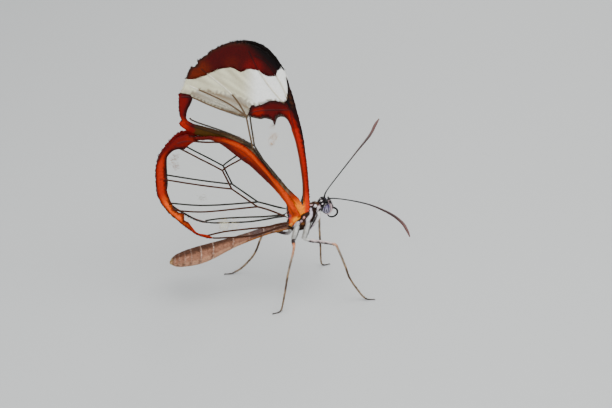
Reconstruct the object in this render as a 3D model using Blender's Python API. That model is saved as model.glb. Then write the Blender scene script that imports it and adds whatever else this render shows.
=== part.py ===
"""Glasswing butterfly at life size, standing at rest with its wings closed over its back.

Metres, +X towards the head, +Y to the insect's left, +Z up, floor at z = 0. Lengths below are
in millimetres, in the body's own frame, whose origin lies on the floor under the thorax. The
last step moves everything so that the origin is at the bottom centre of the bounding box.
"""
import math

import bmesh
import bpy
from mathutils import Matrix, Vector
from mathutils.geometry import delaunay_2d_cdt

MM = 0.001
GAP = 0.3                       # clearance between neighbouring pieces

# Thorax: four egg-shaped swellings, each (x, z of centre, half length, half width, half height, pitch).
THORAX_EGGS = (
    (0.0, 11.6, 2.5, 1.65, 1.55, 38.0),
    (1.7, 12.95, 0.7, 0.95, 0.8, 40.0),
    (-0.2, 10.5, 1.5, 1.2, 0.9, 20.0),
    (-1.35, 10.6, 1.0, 1.3, 1.05, 20.0),
)

HEAD_CENTRE = Vector((2.9, 0.0, 13.0))
HEAD_HALF = Vector((0.88, 1.05, 1.12))
EYE_CENTRE = Vector((3.05, 0.95, 12.95))
EYE_HALF = Vector((0.64, 0.42, 0.84))

# Round-section parts: control points are (x, y, z, radius) on the left side.
ABDOMEN_PATH = (
    (-1.6, 0, 10.35, 0.60), (-3.4, 0, 10.15, 0.64), (-5.5, 0, 9.75, 0.62), (-9.5, 0, 8.65, 0.76),
    (-12.65, 0, 7.65, 1.12), (-14.6, 0, 7.1, 1.27), (-16.6, 0, 6.75, 1.16), (-18.0, 0, 6.5, 0.84),
    (-18.75, 0, 6.38, 0.28),
)
PALP_PATH = (
    (3.2, 0.60, 12.2, 0.24), (3.75, 0.76, 11.9, 0.26), (4.25, 0.82, 12.35, 0.27),
    (4.42, 0.82, 12.95, 0.25), (4.28, 0.80, 13.55, 0.12),
)
ANTENNA_LEFT_PATH = (
    (3.1, 0.40, 13.9, 0.26), (3.3, 0.60, 14.5, 0.25), (4.2, 1.5, 15.1, 0.25), (6.8, 3.4, 16.9, 0.25),
    (8.7, 4.9, 18.1, 0.26), (11.0, 6.6, 19.6, 0.29), (12.0, 7.6, 20.6, 0.29), (12.7, 8.2, 21.2, 0.13),
)
ANTENNA_RIGHT_PATH = (
    (3.1, -0.40, 13.7, 0.26), (3.8, -0.5, 14.2, 0.25), (5.3, -1.3, 14.35, 0.25), (7.0, -2.5, 14.45, 0.25),
    (8.6, -3.9, 14.5, 0.25), (10.1, -5.6, 14.4, 0.26), (11.2, -7.1, 14.2, 0.28), (12.0, -8.4, 13.75, 0.29),
    (12.4, -9.3, 13.1, 0.26), (12.6, -10.0, 12.5, 0.12),
)
PROBOSCIS_CENTRE = Vector((4.12, 0.0, 11.68))
PROBOSCIS_COIL_RADIUS = 0.78
PROBOSCIS_RADIUS = 0.225
PROBOSCIS_ARC = (80.0, -150.0)  # first and last angle of the turn, in degrees
PROBOSCIS_STEPS = 14
PROBOSCIS_TIP_STEPS = 3         # the last steps taper
PROBOSCIS_TIP_TAPER = 0.4

# Legs run coxa, knee, heel, foot. The first run is the thick coxa that meets the thorax.
MID_COXA = ((0.55, 1.1, 11.2, 0.42), (0.2, 1.3, 9.9, 0.42), (-0.15, 1.25, 8.75, 0.33))
HIND_COXA = ((-0.95, 1.0, 10.8, 0.42), (-1.35, 1.25, 9.7, 0.42), (-1.6, 1.2, 8.75, 0.33))
FORELEG_PATH = (
    (1.95, 0.75, 12.45, 0.26), (2.02, 0.9, 11.95, 0.29), (1.78, 1.0, 11.5, 0.28), (1.47, 1.0, 11.0, 0.27),
    (1.13, 1.0, 10.5, 0.22), (0.85, 0.95, 10.0, 0.12),
)
MID_RIGHT_LEG = (
    (0.6, -1.7, 8.55, 0.30), (1.5, -2.3, 8.65, 0.30), (2.8, -3.3, 8.85, 0.28), (3.7, -4.0, 8.85, 0.27),
    (4.1, -4.25, 8.1, 0.26), (5.0, -4.7, 5.6, 0.25), (5.6, -4.95, 3.7, 0.25), (7.0, -5.2, 1.3, 0.25),
    (7.7, -5.32, 0.42, 0.25), (8.2, -5.4, 0.2, 0.25), (8.8, -5.5, 0.19, 0.22),
)
HIND_RIGHT_LEG = (
    (-1.8, -1.9, 8.95, 0.30), (-1.95, -2.7, 9.2, 0.30), (-2.1, -3.8, 9.6, 0.28), (-2.25, -4.7, 9.8, 0.27),
    (-2.45, -5.05, 9.0, 0.26), (-3.2, -5.4, 6.1, 0.25), (-3.75, -5.7, 3.1, 0.25), (-4.1, -5.85, 1.3, 0.25),
    (-4.35, -5.95, 0.42, 0.25), (-4.7, -6.0, 0.2, 0.25), (-5.3, -6.1, 0.19, 0.22),
)
MID_LEFT_LEG = (
    (0.5, 1.8, 8.75, 0.30), (1.3, 2.5, 9.1, 0.30), (2.4, 3.6, 9.7, 0.28), (3.05, 4.15, 9.9, 0.27),
    (3.25, 4.3, 9.1, 0.26), (3.35, 4.45, 6.2, 0.25), (3.5, 4.5, 3.7, 0.25), (3.6, 4.65, 1.3, 0.25),
    (3.75, 4.7, 0.42, 0.25), (4.1, 4.75, 0.2, 0.25), (4.7, 4.85, 0.19, 0.22),
)
HIND_LEFT_LEG = (
    (-1.8, 1.75, 8.0, 0.30), (-2.6, 2.6, 7.75, 0.30), (-3.6, 3.6, 7.8, 0.28), (-4.35, 4.2, 7.85, 0.27),
    (-4.65, 4.4, 7.1, 0.26), (-5.2, 4.6, 5.8, 0.25), (-6.1, 4.9, 3.2, 0.25), (-7.7, 5.1, 1.2, 0.25),
    (-8.8, 5.2, 0.42, 0.25), (-9.4, 5.25, 0.2, 0.25), (-10.1, 5.32, 0.19, 0.22),
)

# Wings, as (x, z) in the plane of the closed wing: the outline runs from the root up the costa,
# round the tip and back along the hind margin.
FOREWING_OUTLINE = (
    (-0.3, 11.4), (0.55, 12.6), (0.68, 16.0), (0.6, 18.3), (0.36, 20.8), (-0.13, 24.7), (-1.0, 28.6),
    (-2.5, 33.2), (-4.5, 36.3), (-7.2, 38.3), (-10.4, 38.9), (-12.9, 37.7), (-14.9, 35.7), (-15.9, 33.3),
    (-16.7, 30.8), (-16.6, 28.2), (-15.4, 26.6), (-12.5, 25.4), (-9.3, 23.8), (-6.6, 21.2), (-3.2, 16.1),
    (-1.15, 12.8),
)
HINDWING_OUTLINE = (
    (-1.0, 10.9), (-1.1, 13.4), (-2.2, 15.8), (-4.9, 19.9), (-7.9, 24.0), (-11.2, 25.9), (-14.2, 26.3),
    (-16.2, 26.3), (-17.6, 25.7), (-18.8, 24.4), (-19.8, 22.9), (-20.2, 21.2), (-20.1, 17.7),
    (-19.0, 15.3), (-16.9, 13.1), (-14.8, 11.4), (-12.5, 10.7), (-7.8, 10.4), (-5.0, 10.7), (-2.6, 11.2),
    (-1.7, 10.6),
)
FOREWING_VEINS = (
    ((-0.1, 13.6), (0.0, 16.1), (-0.2, 19.1), (-1.3, 25.4), (-2.5, 31.0), (-4.8, 35.5), (-6.5, 36.9)),
    ((-0.8, 13.7), (-2.2, 15.5), (-4.0, 18.3), (-7.0, 23.3)),
    ((-7.0, 23.3), (-10.7, 25.5), (-15.1, 27.5), (-15.9, 28.1)),
    ((-7.0, 23.3), (-7.4, 25.7), (-7.8, 28.2)),
    ((-7.8, 28.2), (-11.0, 29.3), (-16.0, 31.4)),
    ((-7.8, 28.2), (-10.6, 30.6), (-15.2, 33.4)),
    ((-7.8, 28.2), (-9.6, 31.5), (-13.6, 35.7)),
    ((-7.8, 28.2), (-6.2, 28.8), (-1.9, 28.5)),
    ((-1.9, 28.5), (-4.3, 31.7), (-6.1, 34.8), (-7.3, 37.6)),
)
HINDWING_VEINS = (
    ((-1.7, 13.6), (-3.8, 17.0), (-7.8, 22.7), (-11.3, 25.1), (-15.6, 25.4), (-17.2, 25.0)),
    ((-2.1, 12.5), (-6.5, 14.2), (-10.0, 17.4), (-11.2, 20.4)),
    ((-11.2, 20.4), (-9.1, 22.2), (-7.8, 22.7)),
    ((-11.2, 20.4), (-13.7, 22.2), (-17.6, 24.9)),
    ((-10.0, 17.4), (-14.3, 18.5), (-19.7, 20.1)),
    ((-6.5, 14.2), (-13.8, 14.4), (-18.5, 15.3)),
    ((-2.0, 11.7), (-4.9, 11.3), (-7.8, 11.4), (-11.3, 11.5), (-13.7, 11.3)),
)
WING_HALF_THICKNESS = 0.25
WING_TIP_HALF_THICKNESS = 0.16
VEIN_HALF_WIDTH = 0.24
VEIN_HEIGHT_OUTSIDE = 0.15
VEIN_HEIGHT_INSIDE = 0.10
OUTLINE_STEP = 0.95
VEIN_STEP = 1.5
FILL_STEP = 2.1

# Forewings stand back to back; hindwings lie outside them and spread over the abdomen.
FOREWING_OFFSET = 0.5
FOREWING_ROOT_SPREAD = 0.6
HINDWING_OFFSET = 0.65
WING_PITCH = 1.05               # forewing mid-plane to hindwing mid-plane where they lap
HINDWING_FLARE = 1.45
FOREWING_PIVOT = (-0.2, 12.2)
HINDWING_ROOT = (-1.5, 11.4)
HINDWING_ROOT_OFFSET = 1.45
# The left pair is carried a little further forward than the right.
LEFT_FOREWING_TURN = math.radians(2.0)
LEFT_FOREWING_SHIFT = Vector((0.15, 0.0, -0.3))
LEFT_HINDWING_SHIFT = Vector((0.3, 0.0, 0.0))

# Bottom centre of the bounding box in the body's frame.
BOX_CENTRE = Vector((-3.742, -0.886, 0.0))

COLOURS = {
    "thorax": (0.10, 0.06, 0.05), "head": (0.03, 0.02, 0.02), "eye": (0.10, 0.08, 0.10),
    "palp": (0.75, 0.68, 0.66), "proboscis": (0.02, 0.02, 0.02), "antenna": (0.07, 0.04, 0.05),
    "abdomen": (0.30, 0.19, 0.17), "leg": (0.35, 0.24, 0.22), "foreleg": (0.75, 0.74, 0.72),
    "forewing": (0.55, 0.16, 0.06), "hindwing": (0.62, 0.20, 0.06),
}


def smooth_step(low, high, value):
    """0 below low, 1 above high, smooth between."""
    t = min(max((value - low) / (high - low), 0.0), 1.0)
    return t * t * (3.0 - 2.0 * t)


def spline(points, step, closed=False):
    """Even samples along a Catmull-Rom curve through points of any number of values."""
    points = [Vector(p) for p in points]
    count = len(points)
    last = count if closed else count - 1
    samples = []
    for i in range(last):
        a, b, c, d = (points[j % count] if closed else points[min(max(j, 0), count - 1)]
                      for j in (i - 1, i, i + 1, i + 2))
        pieces = max(1, round((c - b).length / step))
        for k in range(pieces):
            t = k / pieces
            samples.append(0.5 * (2.0 * b + (c - a) * t + (2.0 * a - 5.0 * b + 4.0 * c - d) * t * t
                                  + (3.0 * b - a - 3.0 * c + d) * t ** 3))
    if not closed:
        samples.append(points[-1])
    return samples


def material(name, colour, roughness=0.6):
    mat = bpy.data.materials.new(name)
    mat.use_nodes = True
    shader = mat.node_tree.nodes["Principled BSDF"]
    shader.inputs["Base Color"].default_value = (*colour, 1.0)
    shader.inputs["Roughness"].default_value = roughness
    shader.inputs["Metallic"].default_value = 0.0
    return mat


def link(name, mesh):
    obj = bpy.data.objects.new(name, mesh)
    collection.objects.link(obj)
    return obj


def egg(centre, half, pitch=0.0, grow=0.0):
    """An ellipsoid from a UV sphere, pitched nose-up by degrees and grown by a clearance."""
    size = Vector(half) + Vector((grow, grow, grow))
    place = (Matrix.Translation(Vector(centre) * MM) @ Matrix.Rotation(math.radians(-pitch), 4, "Y")
             @ Matrix.Diagonal((*(size * MM), 1.0)))
    shape = bmesh.new()
    bmesh.ops.create_uvsphere(shape, u_segments=22, v_segments=14, radius=1.0, matrix=place)
    mesh = bpy.data.meshes.new("egg")
    shape.to_mesh(mesh)
    shape.free()
    return link("egg", mesh)


def tube(path, step, sides=2):
    """A round bar along (x, y, z, radius) points: a bevelled curve, made a mesh with welded caps."""
    samples = spline(path, step)
    curve = bpy.data.curves.new("tube", "CURVE")
    curve.dimensions = "3D"
    curve.bevel_depth = MM
    curve.bevel_resolution = sides
    curve.use_fill_caps = True
    line = curve.splines.new("POLY")
    line.points.add(len(samples) - 1)
    for point, sample in zip(line.points, samples):
        point.co = (*(Vector(sample[:3]) * MM), 1.0)
        point.radius = sample[3]
    guide = link("tube_guide", curve)
    bpy.context.view_layer.update()
    mesh = bpy.data.meshes.new_from_object(guide.evaluated_get(bpy.context.evaluated_depsgraph_get()))
    bpy.data.objects.remove(guide)
    bpy.data.curves.remove(curve)
    shape = bmesh.new()
    shape.from_mesh(mesh)
    bmesh.ops.remove_doubles(shape, verts=shape.verts, dist=0.001 * MM)
    bmesh.ops.recalc_face_normals(shape, faces=shape.faces)
    shape.to_mesh(mesh)
    shape.free()
    return link("tube", mesh)


def apply_boolean(target, operation, others):
    """Fuse or cut target with the other objects, apply the result and remove them."""
    for other in others:
        boolean = target.modifiers.new("join", "BOOLEAN")
        boolean.operation = operation
        boolean.object = other
        boolean.solver = "EXACT"
        bpy.context.view_layer.update()
        evaluated = target.evaluated_get(bpy.context.evaluated_depsgraph_get())
        mesh = bpy.data.meshes.new_from_object(evaluated)
        target.modifiers.clear()
        target.data = mesh
        bpy.data.objects.remove(other)
    keep_largest_body(target)
    return target


def keep_largest_body(obj):
    """Drop every closed surface but the largest, by its bounding size."""
    shape = bmesh.new()
    shape.from_mesh(obj.data)
    unseen = set(shape.verts)
    bodies = []
    while unseen:
        stack = [unseen.pop()]
        body = set(stack)
        while stack:
            for edge in stack.pop().link_edges:
                for vert in edge.verts:
                    if vert in unseen:
                        unseen.discard(vert)
                        body.add(vert)
                        stack.append(vert)
        bodies.append(body)
    bodies.sort(key=len, reverse=True)
    loose = [vert for body in bodies[1:] for vert in body]
    bmesh.ops.delete(shape, geom=loose, context="VERTS")
    shape.to_mesh(obj.data)
    shape.free()


def finish(obj, name, kind):
    """Name a node, give it its material and shade its round faces smooth."""
    obj.name = name
    obj.data.name = name
    obj.data.materials.clear()
    obj.data.materials.append(material("mat_" + name, COLOURS[kind]))
    obj.data.shade_smooth()
    obj.data.set_sharp_from_angle(angle=math.radians(50))
    return obj


def thorax_shape(grow=0.0):
    eggs = [egg((x, 0, z), (half_l, half_w, half_h), pitch, grow)
            for x, z, half_l, half_w, half_h, pitch in THORAX_EGGS]
    return apply_boolean(eggs[0], "UNION", eggs[1:])


def head_shape(grow=0.0):
    return egg(HEAD_CENTRE, HEAD_HALF, 20.0, grow)


def mirrored(point, side):
    return Vector((point[0], side * point[1], *point[2:]))


def eye_shape(side, grow=0.0):
    return egg(mirrored(EYE_CENTRE, side), EYE_HALF, 15.0, grow)


def coxa_path(points, side):
    return [mirrored(p, side) for p in points]


def coxa_shape(points, side, grow=0.0):
    grown = [(x, y, z, radius + grow) for x, y, z, radius in coxa_path(points, side)]
    return tube(grown, 0.5, sides=3)


def trim_at_floor(obj):
    """Cut the soles flat at z = 0."""
    shape = bmesh.new()
    shape.from_mesh(obj.data)
    cut = bmesh.ops.bisect_plane(shape, geom=shape.verts[:] + shape.edges[:] + shape.faces[:],
                                 plane_co=(0, 0, 0), plane_no=(0, 0, 1), clear_inner=True)
    rim = [item for item in cut["geom_cut"] if isinstance(item, bmesh.types.BMEdge)]
    bmesh.ops.edgeloop_fill(shape, edges=rim)
    bmesh.ops.recalc_face_normals(shape, faces=shape.faces)
    shape.to_mesh(obj.data)
    shape.free()


def build_body():
    """Thorax, head, eyes, palps, proboscis and abdomen."""
    finish(apply_boolean(thorax_shape(), "DIFFERENCE", [head_shape(GAP)]), "thorax", "thorax")
    finish(apply_boolean(head_shape(), "DIFFERENCE", [eye_shape(1, GAP), eye_shape(-1, GAP)]), "head", "head")
    abdomen = tube(ABDOMEN_PATH, 0.9, sides=5)
    finish(apply_boolean(abdomen, "DIFFERENCE", [thorax_shape(GAP)]), "abdomen", "abdomen")
    for side, label in ((1, "left"), (-1, "right")):
        finish(eye_shape(side), "eye_" + label, "eye")
        palp = tube([mirrored(p, side) for p in PALP_PATH], 0.4)
        palp = apply_boolean(palp, "DIFFERENCE", [head_shape(GAP), eye_shape(side, GAP)])
        finish(palp, "palp_" + label, "palp")
    for label, path in (("left", ANTENNA_LEFT_PATH), ("right", ANTENNA_RIGHT_PATH)):
        antenna = apply_boolean(tube(path, 0.9), "DIFFERENCE", [head_shape(GAP)])
        finish(antenna, "antenna_" + label, "antenna")


def build_proboscis():
    """One open turn in the midplane, from the face between the palps down and back under the chin."""
    root = (HEAD_CENTRE.x + 0.5, 0.0, PROBOSCIS_CENTRE.z + PROBOSCIS_COIL_RADIUS, PROBOSCIS_RADIUS)
    path = [root]
    first, last = PROBOSCIS_ARC
    for i in range(PROBOSCIS_STEPS + 1):
        angle = math.radians(first + (last - first) * i / PROBOSCIS_STEPS)
        tip = smooth_step(PROBOSCIS_STEPS - PROBOSCIS_TIP_STEPS, PROBOSCIS_STEPS, i)
        path.append((PROBOSCIS_CENTRE.x + PROBOSCIS_COIL_RADIUS * math.cos(angle), 0.0,
                     PROBOSCIS_CENTRE.z + PROBOSCIS_COIL_RADIUS * math.sin(angle),
                     PROBOSCIS_RADIUS * (1.0 - PROBOSCIS_TIP_TAPER * tip)))
    proboscis = apply_boolean(tube(path, 0.6), "DIFFERENCE", [head_shape(GAP)])
    finish(proboscis, "proboscis", "proboscis")


def build_legs():
    """Two walking pairs with flat soles, and the small folded forelegs."""
    legs = (("midleg_right", MID_COXA, MID_RIGHT_LEG, -1), ("hindleg_right", HIND_COXA, HIND_RIGHT_LEG, -1),
            ("midleg_left", MID_COXA, MID_LEFT_LEG, 1), ("hindleg_left", HIND_COXA, HIND_LEFT_LEG, 1))
    for name, coxa, path, side in legs:
        root = coxa_path(coxa, side)[-1]
        limb = tube([(*root[:3], path[0][3]), *path], 0.8)
        trim_at_floor(limb)
        leg = apply_boolean(coxa_shape(coxa, side), "UNION", [limb])
        finish(apply_boolean(leg, "DIFFERENCE", [thorax_shape(GAP)]), name, "leg")
    for side, label in ((1, "left"), (-1, "right")):
        foreleg = tube([mirrored(p, side) for p in FORELEG_PATH], 0.5, sides=3)
        cutters = [thorax_shape(GAP), coxa_shape(MID_COXA, side, GAP)]
        finish(apply_boolean(foreleg, "DIFFERENCE", cutters), "foreleg_" + label, "foreleg")


def forewing_camber(x, z):
    """Distance of the forewing's mid-plane from the midline: wide at the root, close above."""
    reach = math.hypot(x - FOREWING_PIVOT[0], z - FOREWING_PIVOT[1])
    return FOREWING_OFFSET + FOREWING_ROOT_SPREAD * (1.0 - smooth_step(0.5, 5.5, reach))


def below_forewing(x, z):
    """Signed distance below the forewing's hind margin."""
    margin = FOREWING_OUTLINE[:14:-1]
    best = 1e9
    point = Vector((x, z))
    for a, b in zip(margin[:-1], margin[1:]):
        start, run = Vector(a), Vector(b) - Vector(a)
        offset = point - start
        t = min(max(offset.dot(run) / run.length_squared, 0.0), 1.0)
        away = offset - run * t
        distance = math.copysign(away.length, run.x * away.y - run.y * away.x)
        if abs(distance) < abs(best):
            best = distance
    return best


def hindwing_camber(x, z):
    """Distance of the hindwing's mid-plane: outside the forewing, in below it, out round the abdomen."""
    lap = 1.0 - smooth_step(0.6, 3.6, below_forewing(x, z))
    flare_height = 14.2 + (-6.5 - x) * 0.2
    low = HINDWING_OFFSET + HINDWING_FLARE * smooth_step(0.0, 5.2, flare_height - z)
    free = (1.0 - lap) * low + lap * max(low, forewing_camber(x, z) + WING_PITCH)
    near_root = 1.0 - smooth_step(0.3, 1.8, math.hypot(x - HINDWING_ROOT[0], z - HINDWING_ROOT[1]))
    return free * (1.0 - near_root) + HINDWING_ROOT_OFFSET * near_root


def vein_net(veins):
    """Centre lines and side lines of the veins as 2D points and edges, with the centre runs."""
    runs = [spline(vein, VEIN_STEP) for vein in veins]
    centre_runs = [[Vector(p[:2]) for p in run] for run in runs]

    def nearest_other(point, own):
        return min(distance_to_run(point, run) for run in centre_runs if run is not own)

    points, edges = [], []
    for run in centre_runs:
        for shift in (0.0, VEIN_HALF_WIDTH, -VEIN_HALF_WIDTH):
            previous = None
            for i, point in enumerate(run):
                along = run[min(i + 1, len(run) - 1)] - run[max(i - 1, 0)]
                side = Vector((-along.y, along.x)).normalized() * shift
                if shift and nearest_other(point + side, run) < 1.6 * VEIN_HALF_WIDTH:
                    previous = None
                    continue
                points.append(point + side)
                if previous is not None:
                    edges.append((previous, len(points) - 1))
                previous = len(points) - 1
    return points, edges, centre_runs


def distance_to_run(point, run):
    best = 1e9
    for start, end in zip(run[:-1], run[1:]):
        step = end - start
        t = min(max((point - start).dot(step) / step.length_squared, 0.0), 1.0)
        best = min(best, (point - start - step * t).length)
    return best


def wing_triangles(outline, veins):
    """Triangulate a wing's plane with its veins as fixed lines."""
    rim = [Vector(p[:2]) for p in spline(outline, OUTLINE_STEP, closed=True)]
    points, edges, centre_runs = vein_net(veins)
    edges = [(a + len(rim), b + len(rim)) for a, b in edges]
    closed_rim = rim + rim[:1]
    fill = []
    low_x, high_x = min(p.x for p in rim), max(p.x for p in rim)
    low_z, high_z = min(p.y for p in rim), max(p.y for p in rim)
    for row in range(int((high_z - low_z) / FILL_STEP) + 1):
        for column in range(int((high_x - low_x) / FILL_STEP) + 1):
            point = Vector((low_x + (column + 0.5 * (row % 2)) * FILL_STEP, low_z + row * FILL_STEP * 0.9))
            clear = min([distance_to_run(point, run) for run in centre_runs]
                        + [distance_to_run(point, closed_rim)])
            if clear > 0.45 * FILL_STEP and inside(point, rim):
                fill.append(point)
    vertices, _, faces, *_ = delaunay_2d_cdt(rim + points + fill, edges, [list(range(len(rim)))], 1, 0.02)
    return vertices, faces, centre_runs


def inside(point, rim):
    crossings = 0
    for a, b in zip(rim, rim[1:] + rim[:1]):
        if (a.y > point.y) != (b.y > point.y):
            if point.x < a.x + (point.y - a.y) / (b.y - a.y) * (b.x - a.x):
                crossings += 1
    return crossings % 2 == 1


def wing_shape(outline, veins, camber, root, side):
    """A closed slab with both faces split alike, veins raised on each face."""
    vertices, faces, centre_runs = wing_triangles(outline, veins)
    reach = max((v - Vector(root)).length for v in vertices)
    shape = bmesh.new()
    outer, inner = [], []
    for v in vertices:
        thin = smooth_step(0.5, 1.0, (v - Vector(root)).length / reach)
        half = WING_HALF_THICKNESS + (WING_TIP_HALF_THICKNESS - WING_HALF_THICKNESS) * thin
        ridge = max(0.0, 1.0 - min(distance_to_run(v, run) for run in centre_runs) / VEIN_HALF_WIDTH)
        mid = camber(v.x, v.y)
        outer_y = side * (mid + half + VEIN_HEIGHT_OUTSIDE * ridge)
        inner_y = side * (mid - half - VEIN_HEIGHT_INSIDE * ridge)
        outer.append(shape.verts.new(Vector((v.x, outer_y, v.y)) * MM))
        inner.append(shape.verts.new(Vector((v.x, inner_y, v.y)) * MM))
    borders = {}
    for a, b, c in faces:
        shape.faces.new((outer[a], outer[b], outer[c]))
        shape.faces.new((inner[c], inner[b], inner[a]))
        for edge in ((a, b), (b, c), (c, a)):
            borders[edge] = True
    for a, b in borders:
        if (b, a) not in borders:
            shape.faces.new((outer[b], outer[a], inner[a]))
            shape.faces.new((outer[b], inner[a], inner[b]))
    bmesh.ops.delete(shape, geom=[v for v in shape.verts if not v.link_faces], context="VERTS")
    bmesh.ops.recalc_face_normals(shape, faces=shape.faces)
    mesh = bpy.data.meshes.new("wing")
    shape.to_mesh(mesh)
    shape.free()
    return link("wing", mesh)


def build_wings():
    """Both pairs, mirrored, the left ones moved forward, each trimmed clear of the thorax."""
    kinds = (
        ("forewing", FOREWING_OUTLINE, FOREWING_VEINS, forewing_camber, FOREWING_PIVOT),
        ("hindwing", HINDWING_OUTLINE, HINDWING_VEINS, hindwing_camber, HINDWING_ROOT),
    )
    pivot = Vector((FOREWING_PIVOT[0], 0.0, FOREWING_PIVOT[1])) * MM
    swing = {
        "forewing": Matrix.Translation(LEFT_FOREWING_SHIFT * MM + pivot)
        @ Matrix.Rotation(LEFT_FOREWING_TURN, 4, "Y") @ Matrix.Translation(-pivot),
        "hindwing": Matrix.Translation(LEFT_HINDWING_SHIFT * MM),
    }
    for kind, outline, veins, camber, root in kinds:
        for side, label in ((1, "left"), (-1, "right")):
            wing = wing_shape(outline, veins, camber, root, side)
            if label == "left":
                wing.data.transform(swing[kind])
            finish(apply_boolean(wing, "DIFFERENCE", [thorax_shape(GAP)]), kind + "_" + label, kind)


for old in list(bpy.data.objects):
    bpy.data.objects.remove(old)
collection = bpy.data.collections.new("glasswing_butterfly")
bpy.context.scene.collection.children.link(collection)

build_body()
build_proboscis()
build_legs()
build_wings()
for obj in collection.objects:
    obj.data.transform(Matrix.Translation(-BOX_CENTRE * MM))
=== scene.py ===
import math

import bmesh
import bpy
import numpy as np
from mathutils import Matrix, Vector
from mathutils.geometry import delaunay_2d_cdt


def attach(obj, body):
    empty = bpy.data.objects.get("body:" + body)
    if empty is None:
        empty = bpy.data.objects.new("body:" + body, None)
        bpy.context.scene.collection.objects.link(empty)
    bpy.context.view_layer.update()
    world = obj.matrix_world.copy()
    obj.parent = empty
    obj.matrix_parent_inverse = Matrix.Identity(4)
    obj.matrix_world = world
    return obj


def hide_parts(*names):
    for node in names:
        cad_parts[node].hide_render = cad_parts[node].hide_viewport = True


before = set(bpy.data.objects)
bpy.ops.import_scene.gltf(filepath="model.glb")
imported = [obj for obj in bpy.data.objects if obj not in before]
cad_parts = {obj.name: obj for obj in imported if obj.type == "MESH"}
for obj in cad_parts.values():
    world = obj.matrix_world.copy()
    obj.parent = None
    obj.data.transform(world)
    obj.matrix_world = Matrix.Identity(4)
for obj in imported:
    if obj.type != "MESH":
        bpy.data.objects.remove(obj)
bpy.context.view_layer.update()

# Table, light and camera.
# The model stands on a plain pale table top under large soft lamps, seen from its right and above.
# Lengths in this file are millimetres in the insect's own frame: floor at 0 under the thorax.
MM = 0.001
BODY_SHIFT = np.array((3.742, 0.886, 0.0))
TABLE_HALF = 900.0
VIEW_AZIMUTH = math.radians(-12.0)
VIEW_ELEVATION = math.radians(30.0)
VIEW_DISTANCE = 236.1
VIEW_CENTRE = Vector((0.0, 0.0, 10.6))
VIEW_SIDEWAYS = 0.417
VIEW_RISE = 2.5


def place(points):
    """Millimetres in the insect's frame to metres in the shared frame."""
    return (np.asarray(points, float).reshape(-1, 3) + BODY_SHIFT) * MM


# The view pales strong colours, so a picked colour is made this much stronger and darker.
COLOUR_STRENGTH = 1.25
COLOUR_GAMMA = 1.15
COLOUR_SHARE = 0.9


def tone(red, green, blue):
    """A colour picked on a screen, 0 to 255, as linear light, a little deeper than picked."""
    screen = np.array((red, green, blue), float) / 255.0
    light = np.where(screen <= 0.04045, screen / 12.92, ((screen + 0.055) / 1.055) ** 2.4)
    grey = light @ np.array((0.2126, 0.7152, 0.0722))
    strong = np.clip(grey + (light - grey) * COLOUR_STRENGTH, 0.0008, 1.0)
    return strong ** COLOUR_GAMMA * COLOUR_SHARE


def plain_material(name, colour, roughness, **sockets):
    mat = bpy.data.materials.new(name)
    mat.use_nodes = True
    shader = mat.node_tree.nodes["Principled BSDF"]
    shader.inputs["Base Color"].default_value = (*colour, 1.0)
    shader.inputs["Roughness"].default_value = roughness
    for socket, value in sockets.items():
        shader.inputs[socket.replace("_", " ")].default_value = value
    return mat


def new_object(name, mesh):
    obj = bpy.data.objects.new(name, mesh)
    bpy.context.scene.collection.objects.link(obj)
    return obj


table_mesh = bpy.data.meshes.new("table_top")
half = TABLE_HALF * MM
corners = [(-half, -half, 0), (half, -half, 0), (half, half, 0), (-half, half, 0)]
table_mesh.from_pydata(corners, [], [(0, 1, 2, 3)])
table_top = new_object("table_top", table_mesh)
table_mesh.materials.append(plain_material("table_paint", tone(202, 204, 204), 0.75))

world = bpy.data.worlds.new("studio_air")
world.use_nodes = True
world.node_tree.nodes["Background"].inputs["Color"].default_value = (0.82, 0.86, 0.92, 1.0)
world.node_tree.nodes["Background"].inputs["Strength"].default_value = 0.55
bpy.context.scene.world = world


def soft_lamp(name, spot, aim, size, watts, colour):
    lamp = bpy.data.lights.new(name, "AREA")
    lamp.shape = "SQUARE"
    lamp.size = size * MM
    lamp.energy = watts
    lamp.color = colour
    obj = bpy.data.objects.new(name, lamp)
    bpy.context.scene.collection.objects.link(obj)
    obj.location = Vector(spot) * MM
    obj.rotation_mode = "QUATERNION"
    obj.rotation_quaternion = (Vector(aim) - Vector(spot)).to_track_quat("-Z", "Y")


soft_lamp("overhead_lamp", (40, -60, 260), (0, 0, 12), 240, 0.98, (1.0, 0.98, 0.95))
soft_lamp("front_lamp", (-90, -260, 120), (0, 0, 16), 170, 0.55, (0.96, 0.98, 1.0))
soft_lamp("back_lamp", (120, 240, 130), (0, 0, 18), 160, 0.28, (1.0, 0.97, 0.93))

back = Vector((math.sin(VIEW_AZIMUTH) * math.cos(VIEW_ELEVATION),
               -math.cos(VIEW_AZIMUTH) * math.cos(VIEW_ELEVATION), math.sin(VIEW_ELEVATION)))
right = Vector((math.cos(VIEW_AZIMUTH), math.sin(VIEW_AZIMUTH), 0.0))
up = back.cross(right)
eye_point = VIEW_CENTRE + right * VIEW_SIDEWAYS + up * VIEW_RISE + back * VIEW_DISTANCE
lens = bpy.data.cameras.new("front_camera")
lens.lens = 100.0
lens.sensor_width = 36.0
lens.clip_start = 0.01
camera = bpy.data.objects.new("front_camera", lens)
bpy.context.scene.collection.objects.link(camera)
turn = Matrix((right, up, back)).transposed().to_4x4()
camera.matrix_world = Matrix.Translation(Vector(place(eye_point)[0])) @ turn
bpy.context.scene.camera = camera

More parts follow.
